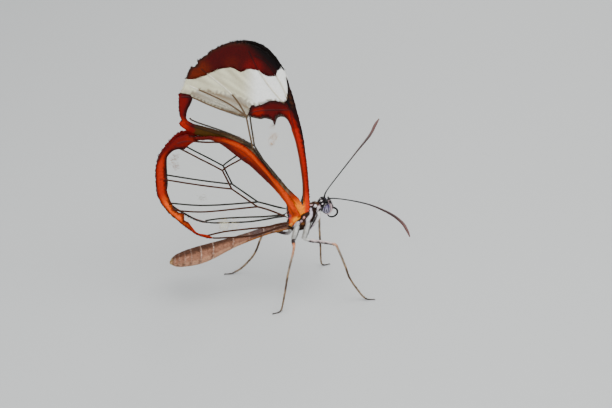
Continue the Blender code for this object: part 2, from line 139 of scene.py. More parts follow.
# Forewings: two clear sheets standing back to back, about 29 mm long, hinged at the thorax.
# Each is a hair-thin membrane on a net of veins, with scaled maroon, orange and white areas grown
# on both faces; outside is the resting side, inside the dark upper side.
FOREWING_OUTLINE = (
    (-0.3, 11.4), (0.62, 12.6), (0.72, 16.0), (0.6, 18.3), (0.36, 20.8), (-0.13, 24.7), (-1.0, 28.6),
    (-1.5, 30.7), (-2.0, 32.2), (-2.35, 33.5), (-2.75, 34.4), (-3.2, 35.0), (-4.05, 36.15),
    (-5.05, 37.2), (-5.95, 37.9), (-6.95, 38.45), (-7.8, 38.75), (-8.8, 38.88), (-10.05, 38.85),
    (-11.05, 38.6), (-12.1, 38.15), (-12.75, 37.6), (-13.5, 37.05), (-14.1, 36.85), (-14.0, 36.45),
    (-14.3, 36.1), (-14.85, 35.95), (-15.2, 35.45), (-15.45, 34.8), (-15.65, 34.3), (-16.0, 33.35),
    (-16.35, 32.7), (-16.6, 32.3), (-16.7, 31.2), (-16.7, 29.8), (-16.55, 28.8), (-16.42, 28.35),
    (-16.75, 28.1), (-16.6, 27.65), (-16.1, 27.15), (-15.4, 26.6), (-12.5, 25.1), (-9.3, 23.8),
    (-6.6, 21.2), (-3.2, 16.1), (-1.15, 12.8),
)
APEX_EDGE = (
    (-17.5, 34.4), (-15.6, 34.4), (-14.6, 34.3), (-13.2, 34.6), (-12.3, 35.0), (-11.0, 35.4),
    (-9.5, 35.4), (-8.4, 34.7), (-7.4, 35.0), (-6.2, 34.7), (-5.3, 34.0), (-4.7, 33.7), (-3.8, 33.7),
    (-3.5, 34.4), (-3.1, 34.6), (-1.0, 34.9),
)
BAND_EDGE = (
    (-0.6, 30.9), (-2.2, 30.8), (-2.5, 29.9), (-4.1, 30.2), (-5.2, 30.2), (-5.5, 29.9), (-7.2, 29.9),
    (-8.2, 31.0), (-10.0, 31.7), (-11.9, 32.2), (-13.9, 32.8), (-15.7, 32.2), (-17.5, 32.2),
)
BAR_TOP = ((-7.5, 28.3), (-7.1, 29.7), (-6.3, 29.5), (-5.2, 29.9), (-4.4, 30.1), (-3.5, 29.9),
           (-2.7, 29.7), (-2.3, 30.0), (-2.2, 30.8), (-2.2, 32.0), (-2.4, 33.3))
BAR_FOOT = ((-7.5, 28.3), (-6.9, 28.1), (-5.9, 27.8), (-5.4, 27.9), (-4.4, 27.5), (-4.05, 26.7),
            (-3.8, 27.7), (-3.3, 28.0), (-2.6, 27.7), (-2.1, 26.9), (-1.6, 25.5))
COSTA_EDGE = ((-0.2, 13.8), (-0.1, 16.2), (-0.26, 18.4), (-0.6, 20.7), (-1.1, 23.4), (-1.7, 25.5))
MARGIN_PATCH_EDGE = ((-17.5, 32.6), (-16.1, 32.4), (-15.0, 31.9), (-15.2, 30.8), (-15.6, 30.0),
                     (-15.8, 29.1), (-15.7, 28.4), (-14.8, 27.7))
HIND_STRIP_EDGE = ((-14.8, 27.7), (-12.9, 27.0), (-12.0, 26.6), (-9.7, 25.5), (-8.3, 24.5),
                   (-7.0, 23.3), (-5.5, 21.0), (-3.3, 17.8), (-2.1, 16.4), (-1.3, 15.5), (-0.7, 14.8),
                   (-0.3, 13.8))
BAND_VEIN = ((-17.0, 32.0), (-15.0, 31.7), (-12.8, 30.4), (-10.5, 29.2), (-8.0, 28.1), (-7.5, 28.3))
GREY_STREAK = ((-13.9, 32.8), (-11.2, 31.6), (-8.6, 30.5), (-7.7, 29.4))
ROOT_TOP = 13.8
FOREWING_PIVOT = (-0.2, 12.2)
LEFT_FOREWING_TURN = math.radians(2.0)
LEFT_FOREWING_SHIFT = (0.15, -0.5)
# The left forewing's front edge lies a little further back; its marks come forward again.
LEFT_BOW_HEIGHTS = (15.0, 18.3, 22.2, 24.7, 26.3, 28.6, 30.7, 32.2, 34.0, 36.5, 39.0)
LEFT_BOW = (0.0, -0.25, -0.35, -0.5, -0.6, -0.64, -0.66, -0.62, -0.6, -0.35, 0.0)
MARK_BOW = (0.0, 0.3, 0.48, 0.72, 0.85, 0.89, 0.71, 0.3, 0.0, 0.0, 0.0)
BOW_FADE = (-9.0, -3.0)
# The forewings stand this far off the midline, and spread apart towards their roots.
FOREWING_STAND = 0.5
FOREWING_SPREAD = 0.6
SPREAD_REACH = (0.5, 5.5)
MEMBRANE_HALF = 0.02
SCALED_HALF = 0.055
PALE_HALF = 0.04
RIM_WIDTH = 0.35
PLAN_STEP = 0.3
ROW_PITCH = 0.87 * PLAN_STEP
PLAN_WELD = 0.004


def smooth(low, high, value):
    t = np.clip((np.asarray(value, float) - low) / (high - low), 0.0, 1.0)
    return t * t * (3.0 - 2.0 * t)


def spline(points, step, closed=False):
    """Even samples along a Catmull-Rom curve through points of any number of values."""
    points = np.asarray(points, float)
    count = len(points)
    last = count if closed else count - 1
    samples = []
    for i in range(last):
        a, b, c, d = (points[j % count] if closed else points[min(max(j, 0), count - 1)]
                      for j in (i - 1, i, i + 1, i + 2))
        pieces = max(1, round(float(np.linalg.norm(c - b)) / step))
        for k in range(pieces):
            t = k / pieces
            samples.append(0.5 * (2.0 * b + (c - a) * t + (2.0 * a - 5.0 * b + 4.0 * c - d) * t * t
                                  + (3.0 * b - a - 3.0 * c + d) * t ** 3))
    if not closed:
        samples.append(points[-1])
    return np.array(samples)


def nearest(points, line):
    """Distance from each point to a line, and on which side of it the point lies."""
    line = np.asarray(line, float)
    start, run = line[:-1], line[1:] - line[:-1]
    offset = points[:, None, :] - start[None]
    t = np.clip((offset * run).sum(2) / (run ** 2).sum(1), 0.0, 1.0)
    away = offset - run * t[..., None]
    distance = np.hypot(away[..., 0], away[..., 1])
    best = distance.argmin(1)
    rows = np.arange(len(points))
    cross = run[best, 0] * away[rows, best, 1] - run[best, 1] * away[rows, best, 0]
    return distance[rows, best], np.where(cross < 0, -1.0, 1.0)


def inside(points, polygon):
    polygon = np.asarray(polygon, float)
    following = np.roll(polygon, -1, axis=0)
    x, z = points[:, 0, None], points[:, 1, None]
    spans = (polygon[:, 1] > z) != (following[:, 1] > z)
    rise = following[:, 1] - polygon[:, 1]
    rise = np.where(rise == 0, 1.0, rise)
    cut = polygon[:, 0] + (z - polygon[:, 1]) / rise * (following[:, 0] - polygon[:, 0])
    return (spans & (x < cut)).sum(1) % 2 == 1


def forewing_camber(p):
    """Distance of the forewing's middle from the insect's midline, by place on the wing."""
    reach = np.hypot(p[:, 0] - FOREWING_PIVOT[0], p[:, 1] - FOREWING_PIVOT[1])
    return FOREWING_STAND + FOREWING_SPREAD * (1.0 - smooth(*SPREAD_REACH, reach))


def forewing_sheet(side, p):
    """Where the forewing's middle lies: forward, up, and off the midline."""
    x, z = p.T
    if side > 0:
        x = x + np.interp(z, LEFT_BOW_HEIGHTS, LEFT_BOW) * smooth(*BOW_FADE, x)
        dx, dz = x - FOREWING_PIVOT[0], z - FOREWING_PIVOT[1]
        cosine, sine = math.cos(LEFT_FOREWING_TURN), math.sin(LEFT_FOREWING_TURN)
        x = FOREWING_PIVOT[0] + dx * cosine + dz * sine + LEFT_FOREWING_SHIFT[0]
        z = FOREWING_PIVOT[1] - dx * sine + dz * cosine + LEFT_FOREWING_SHIFT[1]
    return x, z, forewing_camber(p)


def wing_place(sheet, side, p, lift):
    """Points of a wing's plan to the shared frame, lifted off its middle towards its outer face."""
    x, z, camber = sheet(side, p)
    return place(np.column_stack((x, side * (camber + lift), z)))


def wing_plan(outline, marks):
    """Triangles over a wing's plan whose edges follow its outline and the marks on it."""
    rim = spline(outline, PLAN_STEP, closed=True)
    lines = [spline(mark, PLAN_STEP) for mark in marks]
    low, high = rim.min(0), rim.max(0)
    rows = np.arange(low[1], high[1], ROW_PITCH)
    fill = np.array([(x + 0.5 * PLAN_STEP * (i % 2), z) for i, z in enumerate(rows)
                     for x in np.arange(low[0], high[0], PLAN_STEP)])
    fill = fill[inside(fill, rim)]
    clear = nearest(fill, np.vstack((rim, rim[:1])))[0]
    for line in lines:
        clear = np.minimum(clear, nearest(fill, line)[0])
    points = [Vector(p) for p in rim]
    edges = []
    for line in lines:
        edges += [(len(points) + i, len(points) + i + 1) for i in range(len(line) - 1)]
        points += [Vector(p) for p in line]
    points += [Vector(p) for p in fill[clear > 0.5 * PLAN_STEP]]
    spots, _, faces, *_ = delaunay_2d_cdt(points, edges, [list(range(len(rim)))], 1, PLAN_WELD)
    spots, faces = np.array([tuple(s) for s in spots]), np.array(faces)
    return spots, faces, spots[faces].mean(1), np.vstack((rim, rim[:1]))


def set_colours(mesh, name, colours):
    layer = mesh.attributes.new(name, "FLOAT_COLOR", "POINT")
    rgba = np.ones((len(mesh.vertices), 4))
    rgba[:, :colours.shape[1]] = colours
    layer.data.foreach_set("color", rgba.ravel())


def wing_shell(name, sheet, side, spots, faces, half, rim, paint, mat, shift=(0.0, 0.0)):
    """A thin closed skin over some of a wing's triangles, painted apart on its two faces.

    The paint takes the places, whether they are on the outer face, and the shift of the marks.
    """
    used, faces = np.unique(faces, return_inverse=True)
    faces = faces.reshape(-1, 3)
    p = spots[used]
    count = len(p)
    thin = half * (0.4 + 0.6 * smooth(0.0, RIM_WIDTH, nearest(p, rim)[0]))
    verts = np.vstack((wing_place(sheet, side, p, thin), wing_place(sheet, side, p, -thin)))
    pairs = {(a, b) for f in faces for a, b in ((f[0], f[1]), (f[1], f[2]), (f[2], f[0]))}
    borders = [(a, b) for a, b in pairs if (b, a) not in pairs]
    polygons = [tuple(f) for f in faces]
    polygons += [(c + count, b + count, a + count) for a, b, c in faces]
    polygons += [(b, a, a + count, b + count) for a, b in sorted(borders)]
    mesh = bpy.data.meshes.new(name)
    mesh.from_pydata(verts.tolist(), [], [tuple(int(i) for i in f) for f in polygons])
    if side < 0:
        mesh.flip_normals()
    if paint is not None:
        set_colours(mesh, "Paint", np.vstack((paint(p, True, shift), paint(p, False, shift))))
    mesh.shade_smooth()
    mesh.materials.append(mat)
    return new_object(name, mesh)


def even(p, red, green, blue):
    """One picked colour at every place."""
    return np.tile(tone(red, green, blue), (len(p), 1))


def mix(colour, other, weight):
    weight = np.broadcast_to(np.asarray(weight, float), (len(colour),))[:, None]
    return colour * (1.0 - weight) + other * weight


def washed(colour, *coats):
    """Coats of a picked colour and its weight, laid over a colour one after another."""
    for shade, weight in coats:
        colour = mix(colour, tone(*shade), weight)
    return colour


def blot(p, x, z, radius):
    """1 at a spot on the wing's plan, fading to 0 at the radius."""
    return 1.0 - smooth(0.35 * radius, radius, np.hypot(p[:, 0] - x, p[:, 1] - z))


def area_inside(*sides):
    """A closed outline from marks, splined as the plan's edges are, and loose corner points."""
    return np.vstack([spline(side, PLAN_STEP) if len(side) > 4 else np.array(side, float)
                      for side in sides])


APEX = area_inside(APEX_EDGE, ((3, 34.9), (3, 42), (-22, 42), (-22, 34.4)))
PALE_BAND = area_inside(APEX_EDGE, ((3, 34.9), (3, 30.9)), BAND_EDGE, ((-22, 32.2), (-22, 34.4)))
VEIL = area_inside(BAND_EDGE[::-1], BAR_TOP[::-1], BAND_VEIN[::-1])
BAR = area_inside(BAR_TOP, ((3, 33.3), (3, 25.5)), BAR_FOOT[::-1])
COSTA = area_inside(COSTA_EDGE, ((3, 25.5), (3, 10), (-0.3, 10)))
MARGIN_PATCH = area_inside(MARGIN_PATCH_EDGE, ((-14.8, 20), (-22, 20), (-22, 32.6)))
HIND_STRIP = area_inside(HIND_STRIP_EDGE, ((-0.3, 10), (-14.8, 10)))
# Marks beside the front edge keep their place, up to where the clear cell ends.
FRONT_FOOT = (-0.1, 16.0)
FRONT_LEAN = 0.15
FRONT_FADE = (-0.7, -0.3)
FRONT_END = (26.0, 23.5)
SETTLING_STEPS = 30
SETTLING_SHARE = 0.2


def mark_offset(p, shift):
    """How far a wing's marks lie from their plan: nowhere on the right wing, back on the left."""
    front = FRONT_FOOT[0] - FRONT_LEAN * (p[:, 1] - FRONT_FOOT[1])
    share = 1.0 - smooth(*FRONT_FADE, p[:, 0] - front) * smooth(*FRONT_END, p[:, 1])
    bow = np.interp(p[:, 1], LEFT_BOW_HEIGHTS, MARK_BOW) * smooth(*BOW_FADE, p[:, 0])
    return np.column_stack((shift[0] * share + bow * np.any(shift), shift[1] * share))


def unmoved(p, shift):
    """Where places on a wing lie in the plan of its marks, in small steps so that it settles."""
    spot = p
    for _ in range(SETTLING_STEPS if np.any(shift) else 0):
        spot = spot + SETTLING_SHARE * (p - mark_offset(spot, shift) - spot)
    return spot


def forewing_regions(p):
    regions = {"apex": inside(p, APEX), "bar": inside(p, BAR), "costa": inside(p, COSTA),
               "patch": inside(p, MARGIN_PATCH), "hind": inside(p, HIND_STRIP),
               "root": p[:, 1] < ROOT_TOP}
    regions["scaled"] = np.any(list(regions.values()), axis=0)
    regions["band"] = inside(p, PALE_BAND) & ~regions["scaled"]
    regions["veil"] = inside(p, VEIL) & ~regions["scaled"] & ~regions["band"]
    return regions


def forewing_paint(p, outer, shift):
    """Colours of the scaled areas: rust and maroon outside, sooty brown inside."""
    edge = nearest(p, forewing_rim)[0]
    p = unmoved(p, shift)
    r = forewing_regions(p)
    edges = {"apex": APEX_EDGE, "bar": BAR_TOP + BAR_FOOT[::-1], "costa": COSTA_EDGE,
             "patch": MARGIN_PATCH_EDGE, "hind": HIND_STRIP_EDGE}
    closest = np.argmin([nearest(p, line)[0] for line in edges.values()], axis=0)
    for i, name in enumerate(edges):
        r[name] = r[name] | (~r["scaled"] & (closest == i))
    x, z = p[:, 0], p[:, 1]
    apex = washed(
        even(p, 72, 8, 5),
        ((106, 46, 12), blot(p, -14.2, 35.2, 2.6) * 0.8),
        ((112, 14, 6), blot(p, -6.8, 35.2, 1.8) * 0.7),
        ((90, 30, 10), blot(p, -9.6, 36.0, 1.5) * 0.6),
        ((60, 26, 12), 1.0 - smooth(0.1, 0.5, edge)),
        ((12, 3, 3), smooth(1.7, 0.3, nearest(p, ((-6.4, 38.8), (-2.2, 33.8)))[0])))
    bar = washed(
        even(p, 88, 10, 6),
        ((150, 46, 12), blot(p, -6.2, 28.6, 1.1) * 0.7),
        ((150, 42, 5), smooth(29.5, 26.5, z) * smooth(-3.6, -2.2, x) * 0.9),
        ((30, 10, 8), smooth(0.6, 0.1, nearest(p, BAR_TOP)[0]) * 0.9),
        ((20, 7, 7), blot(p, -2.9, 30.6, 0.9)),
        ((60, 14, 8), smooth(0.3, 0.05, nearest(p, BAR_FOOT)[0]) * 0.7))
    costa = washed(
        even(p, 170, 52, 2),
        ((128, 66, 24), smooth(0.26, 0.06, nearest(p, COSTA_EDGE)[0]) * 0.9),
        ((92, 8, 4), smooth(0.42, 0.15, edge) * 0.9),
        ((20, 5, 5), smooth(0.4, 0.15, edge) * smooth(20.5, 22.5, z) * 0.9),
        ((140, 36, 8), smooth(25.0, 28.0, z) * 0.6))
    patch = washed(
        even(p, 112, 12, 5),
        ((36, 8, 8), smooth(0.7, 0.1, nearest(p, MARGIN_PATCH_EDGE[1:])[0]) * 0.85),
        ((156, 50, 10), blot(p, -16.6, 27.7, 1.6)))
    inner = nearest(p, HIND_STRIP_EDGE)[0]
    strip = washed(
        even(p, 84, 50, 16),
        ((76, 54, 22), smooth(-8.0, -10.5, x)),
        ((150, 132, 108), smooth(0.8, 0.55, inner) * smooth(-11.5, -8.5, x)
         * smooth(15.0, 16.5, z) * 0.85),
        ((58, 42, 30), smooth(0.42, 0.24, inner) * 0.9))
    colour = even(p, 150, 60, 14)
    for where, shade in ((r["apex"], apex), (r["bar"], bar), (r["costa"] & ~r["bar"], costa),
                         (r["patch"], patch), (r["hind"] & ~r["patch"] & ~r["costa"], strip)):
        colour = np.where(where[:, None], shade, colour)
    rim = np.interp(z, (20.5, 24.5, 26.5, 28.5, 30.0, 33.5), (0.1, 0.42, 0.55, 0.85, 1.3, 1.0))
    black = smooth(rim + 0.12, rim - 0.12, edge) * smooth(20.5, 22.5, z) * smooth(-5.0, -4.0, x)
    gleam = smooth(0.16, 0.06, np.abs(edge - 0.45)) * smooth(1.4, 0.6, np.abs(z - 29.8))
    colour = washed(
        colour,
        ((18, 6, 6), np.where(r["apex"], 0.0, black) * 0.95),
        ((78, 46, 28), gleam * smooth(-5.0, -4.0, x) * 0.8),
        ((206, 80, 0), smooth(16.5, 14.0, z) * 0.8),
        ((244, 154, 6), smooth(15.2, 13.6, z) * smooth(0.2, -0.2, x) * 0.95))
    if not outer:
        colour = washed(even(p, 20, 13, 10), ((96, 34, 14), r["bar"] * 0.4))
    return colour


STREAK_PIVOT = (-1.0, 25.0)


def forewing_pale_paint(p, outer, shift):
    """The white bar, dense at the front edge, thinning to a cream and grey bloom behind."""
    p = unmoved(p, shift)
    r = forewing_regions(p)
    x = p[:, 0]
    turn = np.arctan2(p[:, 1] - STREAK_PIVOT[1], STREAK_PIVOT[0] - x)
    reach = np.hypot(p[:, 0] - STREAK_PIVOT[0], p[:, 1] - STREAK_PIVOT[1])
    streak = (0.5 + 0.25 * np.sin(turn * 46.0 + 1.3 * np.sin(reach * 0.7))
              + 0.25 * np.sin(turn * 91.0 + reach * 0.5))
    behind = smooth(-6.0, -8.5, x)
    colour = washed(even(p, 255, 255, 252), ((240, 238, 214), behind),
                    ((206, 198, 176), streak * behind * 0.7))
    alpha = 0.98 - (0.06 + 0.22 * streak) * behind
    line = nearest(p, GREY_STREAK)[0]
    rib = smooth(0.42, 0.14, nearest(p, BAND_VEIN)[0])
    veil = washed(even(p, 232, 228, 212), ((132, 112, 92), smooth(0.4, 0.08, line) * 0.6),
                  ((138, 116, 90), streak * 0.75), ((92, 78, 66), rib * 0.9))
    colour = np.where(r["veil"][:, None], veil, colour)
    thin = 0.3 + 0.3 * streak + 0.2 * smooth(0.6, 0.15, line) + 0.25 * rib
    return np.column_stack((colour, np.where(r["veil"], thin, alpha)))


def wired(tree, kind, inputs=None, **settings):
    """A new node; each of its inputs takes a value, a socket or another node's first output."""
    node = tree.nodes.new(kind)
    for name, value in settings.items():
        setattr(node, name, value)
    for name, value in (inputs or {}).items():
        if isinstance(name, int):
            plug = node.inputs[name]
        else:
            plug = next(plug for plug in node.inputs if plug.enabled and plug.name == name)
        if isinstance(value, bpy.types.Node):
            value = next(socket for socket in value.outputs if socket.enabled)
        if isinstance(value, bpy.types.NodeSocket):
            tree.links.new(value, plug)
        else:
            plug.default_value = value
    return node


GREY = (0.5, 0.5, 0.5)
RELIEF_DEPTH = 0.02


def painted_material(name, roughness, variation, grain, bump, shine=0.5, see_through=False):
    """Colour from the piece's own paint, broken up by a fine grain laid in Object coordinates."""
    mat = plain_material(name, GREY, roughness, Specular_IOR_Level=shine)
    tree = mat.node_tree
    shader = tree.nodes["Principled BSDF"]
    paint = wired(tree, "ShaderNodeAttribute", attribute_name="Paint")
    where = wired(tree, "ShaderNodeTexCoord")
    noise = wired(tree, "ShaderNodeTexNoise",
                  {"Vector": where.outputs["Object"], "Scale": grain, "Detail": 3.0})
    span = wired(tree, "ShaderNodeMapRange", {
        "Value": noise, "From Min": 0.3, "From Max": 0.7,
        "To Min": 1.0 - variation, "To Max": 1.0 + variation})
    shade = wired(tree, "ShaderNodeVectorMath", {0: paint, "Scale": span}, operation="SCALE")
    tree.links.new(shade.outputs["Vector"], shader.inputs["Base Color"])
    if see_through:
        tree.links.new(paint.outputs["Alpha"], shader.inputs["Alpha"])
    if bump:
        relief = wired(tree, "ShaderNodeBump", {
            "Strength": bump, "Distance": RELIEF_DEPTH * MM, "Height": noise})
        tree.links.new(relief.outputs["Normal"], shader.inputs["Normal"])
    return mat


SCALED = painted_material("wing_scales", 0.65, 0.22, 5200.0, 0.5, 0.12)
PALE = painted_material("white_bloom", 0.6, 0.06, 3800.0, 0.2, 0.2, see_through=True)
CLEAR = plain_material("clear_membrane", tone(222, 224, 212), 0.2, Alpha=0.022, IOR=1.45)

FOREWING_MARKS = (APEX_EDGE, BAND_EDGE, BAR_TOP, BAR_FOOT, COSTA_EDGE, MARGIN_PATCH_EDGE,
                  HIND_STRIP_EDGE, BAND_VEIN)
# The left sheet's marks sit a little lower, so that the pair's marks lie over each other.
MARK_SHIFT = {"right": np.array((0.0, 0.0)), "left": np.array((-0.56, -0.52))}
FOREWING_VEINS = (
    ((-0.1, 13.6), (0.0, 16.1), (-0.2, 19.1), (-1.3, 25.4), (-2.5, 31.0), (-4.8, 35.5), (-6.5, 36.9)),
    ((-0.8, 13.7), (-2.2, 15.5), (-4.0, 18.3), (-7.0, 23.3)),
    ((-7.0, 23.3), (-10.7, 25.5), (-15.1, 27.5), (-15.9, 28.1)),
    ((-7.0, 23.3), (-7.4, 25.7), (-7.8, 28.2)),
    ((-7.8, 28.2), (-10.5, 29.2), (-12.8, 30.4), (-15.0, 31.7), (-16.4, 31.9)),
    ((-7.8, 28.2), (-10.6, 30.6), (-15.2, 33.4)),
    ((-7.8, 28.2), (-9.6, 31.5), (-13.6, 35.7)),
    ((-7.8, 28.2), (-6.2, 28.8), (-1.9, 28.5)),
    ((-1.9, 28.5), (-4.3, 31.7), (-6.1, 34.8), (-7.3, 37.6)),
)
VEIN_STEP = 0.35
VEIN_ROOT_RADIUS = 0.14
VEIN_TIP_RADIUS = 0.12
VEIN_TAPER = (2.0, 13.0)
# A vein that starts this near the root is drawn out to a point there.
ROOT_VEIN_REACH = 3.5
ROOT_POINT_LENGTH = 1.4
SIDES = (("right", -1), ("left", 1))


def fasten(slot, nodes, *pieces):
    """Set pieces on the body in the place of some solids; the finish's slot is not used."""
    for obj in pieces:
        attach(obj, "root")
        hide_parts(*nodes)


def evaluated_mesh(obj):
    """The plain mesh that an object's modifiers make of it; the modifiers are removed."""
    bpy.context.view_layer.update()
    mesh = bpy.data.meshes.new_from_object(obj.evaluated_get(bpy.context.evaluated_depsgraph_get()))
    obj.modifiers.clear()
    obj.data = mesh
    mesh.name = obj.name
    return mesh


def grow(obj, tree, **values):
    """Run a Geometry Nodes tree on an object and keep the result as its mesh."""
    step = obj.modifiers.new(tree.name, "NODES")
    step.node_group = tree
    sockets = {item.name: item.identifier for item in tree.interface.items_tree
               if item.in_out == "INPUT"}
    for name, value in values.items():
        step[sockets[name.replace("_", " ")]] = value
    return evaluated_mesh(obj)


def new_tree(name, inputs):
    tree = bpy.data.node_groups.new(name, "GeometryNodeTree")
    tree.interface.new_socket("Geometry", in_out="INPUT", socket_type="NodeSocketGeometry")
    for label, kind in inputs:
        tree.interface.new_socket(label, in_out="INPUT", socket_type="NodeSocket" + kind)
    tree.interface.new_socket("Geometry", in_out="OUTPUT", socket_type="NodeSocketGeometry")
    return tree, tree.nodes.new("NodeGroupInput"), tree.nodes.new("NodeGroupOutput")


def named(tree, name, kind):
    return wired(tree, "GeometryNodeInputNamedAttribute", {"Name": name}, data_type=kind)


def finish_tree(tree, geometry, given, made):
    """Make a tree's geometry real and give it its finish."""
    solid = wired(tree, "GeometryNodeRealizeInstances", {"Geometry": geometry})
    finish = wired(tree, "GeometryNodeSetMaterial", {
        "Geometry": solid, "Material": given.outputs["Finish"]})
    tree.links.new(finish.outputs["Geometry"], made.inputs["Geometry"])
    return tree


def bar_tree():
    """A round bar along every run of edges, as thick as the run's own Width."""
    tree, given, made = new_tree("bar_along_lines", (("Sides", "Int"), ("Finish", "Material")))
    line = wired(tree, "GeometryNodeMeshToCurve", {"Mesh": given.outputs["Geometry"]})
    ring = wired(tree, "GeometryNodeCurvePrimitiveCircle", {
        "Resolution": given.outputs["Sides"], "Radius": 1.0})
    bar = wired(tree, "GeometryNodeCurveToMesh", {
        "Curve": line, "Profile Curve": ring, "Scale": named(tree, "Width", "FLOAT"),
        "Fill Caps": True})
    return finish_tree(tree, bar, given, made)


BAR_TREE = bar_tree()


def bars(name, runs, mat, sides=8, colours=()):
    """Bars along runs of (points in metres, radii in mm); colours are extra attributes per run."""
    verts = np.vstack([points for points, _ in runs])
    edges, start = [], 0
    for points, _ in runs:
        edges += [(start + i, start + i + 1) for i in range(len(points) - 1)]
        start += len(points)
    mesh = bpy.data.meshes.new(name)
    mesh.from_pydata(verts.tolist(), edges, [])
    width = mesh.attributes.new("Width", "FLOAT", "POINT")
    width.data.foreach_set("value", np.concatenate([radii for _, radii in runs]) * MM)
    for label, values in colours:
        set_colours(mesh, label, values)
    obj = new_object(name, mesh)
    mesh = grow(obj, BAR_TREE, Sides=sides, Finish=mat)
    close_seams(mesh)
    mesh.shade_smooth()
    return obj


def close_seams(mesh):
    """Merge doubled points, so that caps are closed, and turn every face outwards."""
    shape = bmesh.new()
    shape.from_mesh(mesh)
    bmesh.ops.remove_doubles(shape, verts=shape.verts, dist=0.0005 * MM)
    bmesh.ops.recalc_face_normals(shape, faces=shape.faces)
    shape.to_mesh(mesh)
    shape.free()


def wing_veins(name, sheet, side, veins, outer_paint, inner_paint, mat):
    """The vein net as fine bars in the middle of the sheet, painted apart on its two faces."""
    runs, outside, within = [], [], []
    for vein in veins:
        p = spline(vein, VEIN_STEP)
        reach = np.hypot(p[:, 0] - FOREWING_PIVOT[0], p[:, 1] - FOREWING_PIVOT[1])
        radius = (VEIN_ROOT_RADIUS
                  + (VEIN_TIP_RADIUS - VEIN_ROOT_RADIUS) * smooth(*VEIN_TAPER, reach))
        if reach[0] < ROOT_VEIN_REACH:
            radius = radius * (0.25 + 0.75 * smooth(0.0, ROOT_POINT_LENGTH, reach - reach[0]))
        runs.append((wing_place(sheet, side, p, 0.0), radius))
        outside.append(outer_paint(p))
        within.append(inner_paint(p))
    obj = bars(name, runs, mat, 8, (("Outer", np.vstack(outside)), ("Inner", np.vstack(within))))
    mesh = obj.data
    outer, inner = (read_colours(mesh, label)[:, :3] for label in ("Outer", "Inner"))
    normals = np.array([v.normal for v in mesh.vertices])
    facing = smooth(-0.35, 0.35, normals[:, 1] * side)[:, None]
    set_colours(mesh, "Paint", outer * facing + inner * (1.0 - facing))
    for label in ("Outer", "Inner"):
        mesh.attributes.remove(mesh.attributes[label])
    return obj


def read_colours(mesh, name):
    values = np.empty(len(mesh.vertices) * 4)
    mesh.attributes[name].data.foreach_get("color", values)
    return values.reshape(-1, 4)


def forewing_vein_outer(p):
    """Veins are grey-brown over clear membrane and take a darker shade of the scaled areas."""
    r = forewing_regions(p)
    colour = np.where(r["band"][:, None], tone(226, 222, 208), even(p, 108, 92, 76))
    over_scales = forewing_paint(p, True, MARK_SHIFT["right"]) * 0.5
    return np.where(r["scaled"][:, None], over_scales, colour)


def forewing_vein_inner(p):
    return even(p, 64, 52, 42)


# Each flake leans aside by up to this many radians, and has its own share of the colour.
SIDE_LEAN = 0.22
FLAKE_SHADES = (0.72, 1.2)


def cover_tree():
    """Small loose pieces strewn over a skin, lying along its Lay, as thick as its Cover says."""
    tree, given, made = new_tree("cover_of_scales", (
        ("Scale", "Object"), ("Per square metre", "Float"), ("Seed", "Int"), ("Smallest", "Float"),
        ("Largest", "Float"), ("Lift", "Float"), ("Broadside", "Float"), ("Finish", "Material")))
    ask = given.outputs

    def chance(low, high, seed):
        return wired(tree, "FunctionNodeRandomValue", {"Min": low, "Max": high, "Seed": seed})

    def stored(geometry, name, kind, value):
        return wired(tree, "GeometryNodeStoreNamedAttribute",
                     {"Geometry": geometry, "Name": name, "Value": value}, data_type=kind)

    def maths(operation, first, second=0.0):
        return wired(tree, "ShaderNodeMath", {0: first, 1: second}, operation=operation)

    facing = wired(tree, "ShaderNodeSeparateXYZ", {"Vector": wired(tree, "GeometryNodeInputNormal")})
    broad = maths("GREATER_THAN", maths("ABSOLUTE", facing.outputs["Y"]), ask["Broadside"])
    thick = maths("MULTIPLY", ask["Per square metre"], named(tree, "Cover", "FLOAT"))
    strew = wired(tree, "GeometryNodeDistributePointsOnFaces", {
        "Mesh": ask["Geometry"], "Density": thick, "Seed": ask["Seed"], "Selection": broad})
    upright = wired(tree, "FunctionNodeAlignRotationToVector",
                    {"Vector": strew.outputs["Normal"]}, axis="Z")
    along = wired(tree, "FunctionNodeAlignRotationToVector",
                  {"Rotation": upright, "Vector": named(tree, "Lay", "FLOAT_VECTOR")},
                  axis="X", pivot_axis="Z")
    tip = wired(tree, "ShaderNodeCombineXYZ", {
        "Y": maths("MULTIPLY", ask["Lift"], -1.0), "Z": chance(-SIDE_LEAN, SIDE_LEAN, 3)})
    turned = wired(tree, "FunctionNodeRotateRotation", {
        "Rotation": along, "Rotate By": wired(tree, "FunctionNodeEulerToRotation", {"Euler": tip})},
        rotation_space="LOCAL")
    points = stored(strew, "Root", "FLOAT_VECTOR", wired(tree, "GeometryNodeInputPosition"))
    points = stored(points, "Shade", "FLOAT", chance(*FLAKE_SHADES, 5))
    unit = wired(tree, "GeometryNodeObjectInfo", {"Object": ask["Scale"]})
    lay = wired(tree, "GeometryNodeInstanceOnPoints", {
        "Points": points, "Instance": unit.outputs["Geometry"], "Rotation": turned,
        "Scale": chance(ask["Smallest"], ask["Largest"], 7)})
    return finish_tree(tree, lay, given, made)


COVER_TREE = cover_tree()


def flake(name, length, half_width, thickness, outline):
    """One scale or hair lying along X from its root, as a closed flat piece, in mm."""
    rim = np.array([(x * length, y * half_width, thickness * x) for x, y in outline])
    middle = rim.mean(0)
    verts = np.vstack((rim, middle + (0, 0, thickness), middle - (0, 0, thickness * 0.5)))
    count = len(rim)
    faces = [(i, (i + 1) % count, count) for i in range(count)]
    faces += [((i + 1) % count, i, count + 1) for i in range(count)]
    mesh = bpy.data.meshes.new(name)
    mesh.from_pydata((verts * MM).tolist(), [], faces)
    local = mesh.attributes.new("Local", "FLOAT_VECTOR", "POINT")
    local.data.foreach_set("vector", (verts / length).ravel())
    mesh.shade_smooth()
    return new_object(name, mesh)


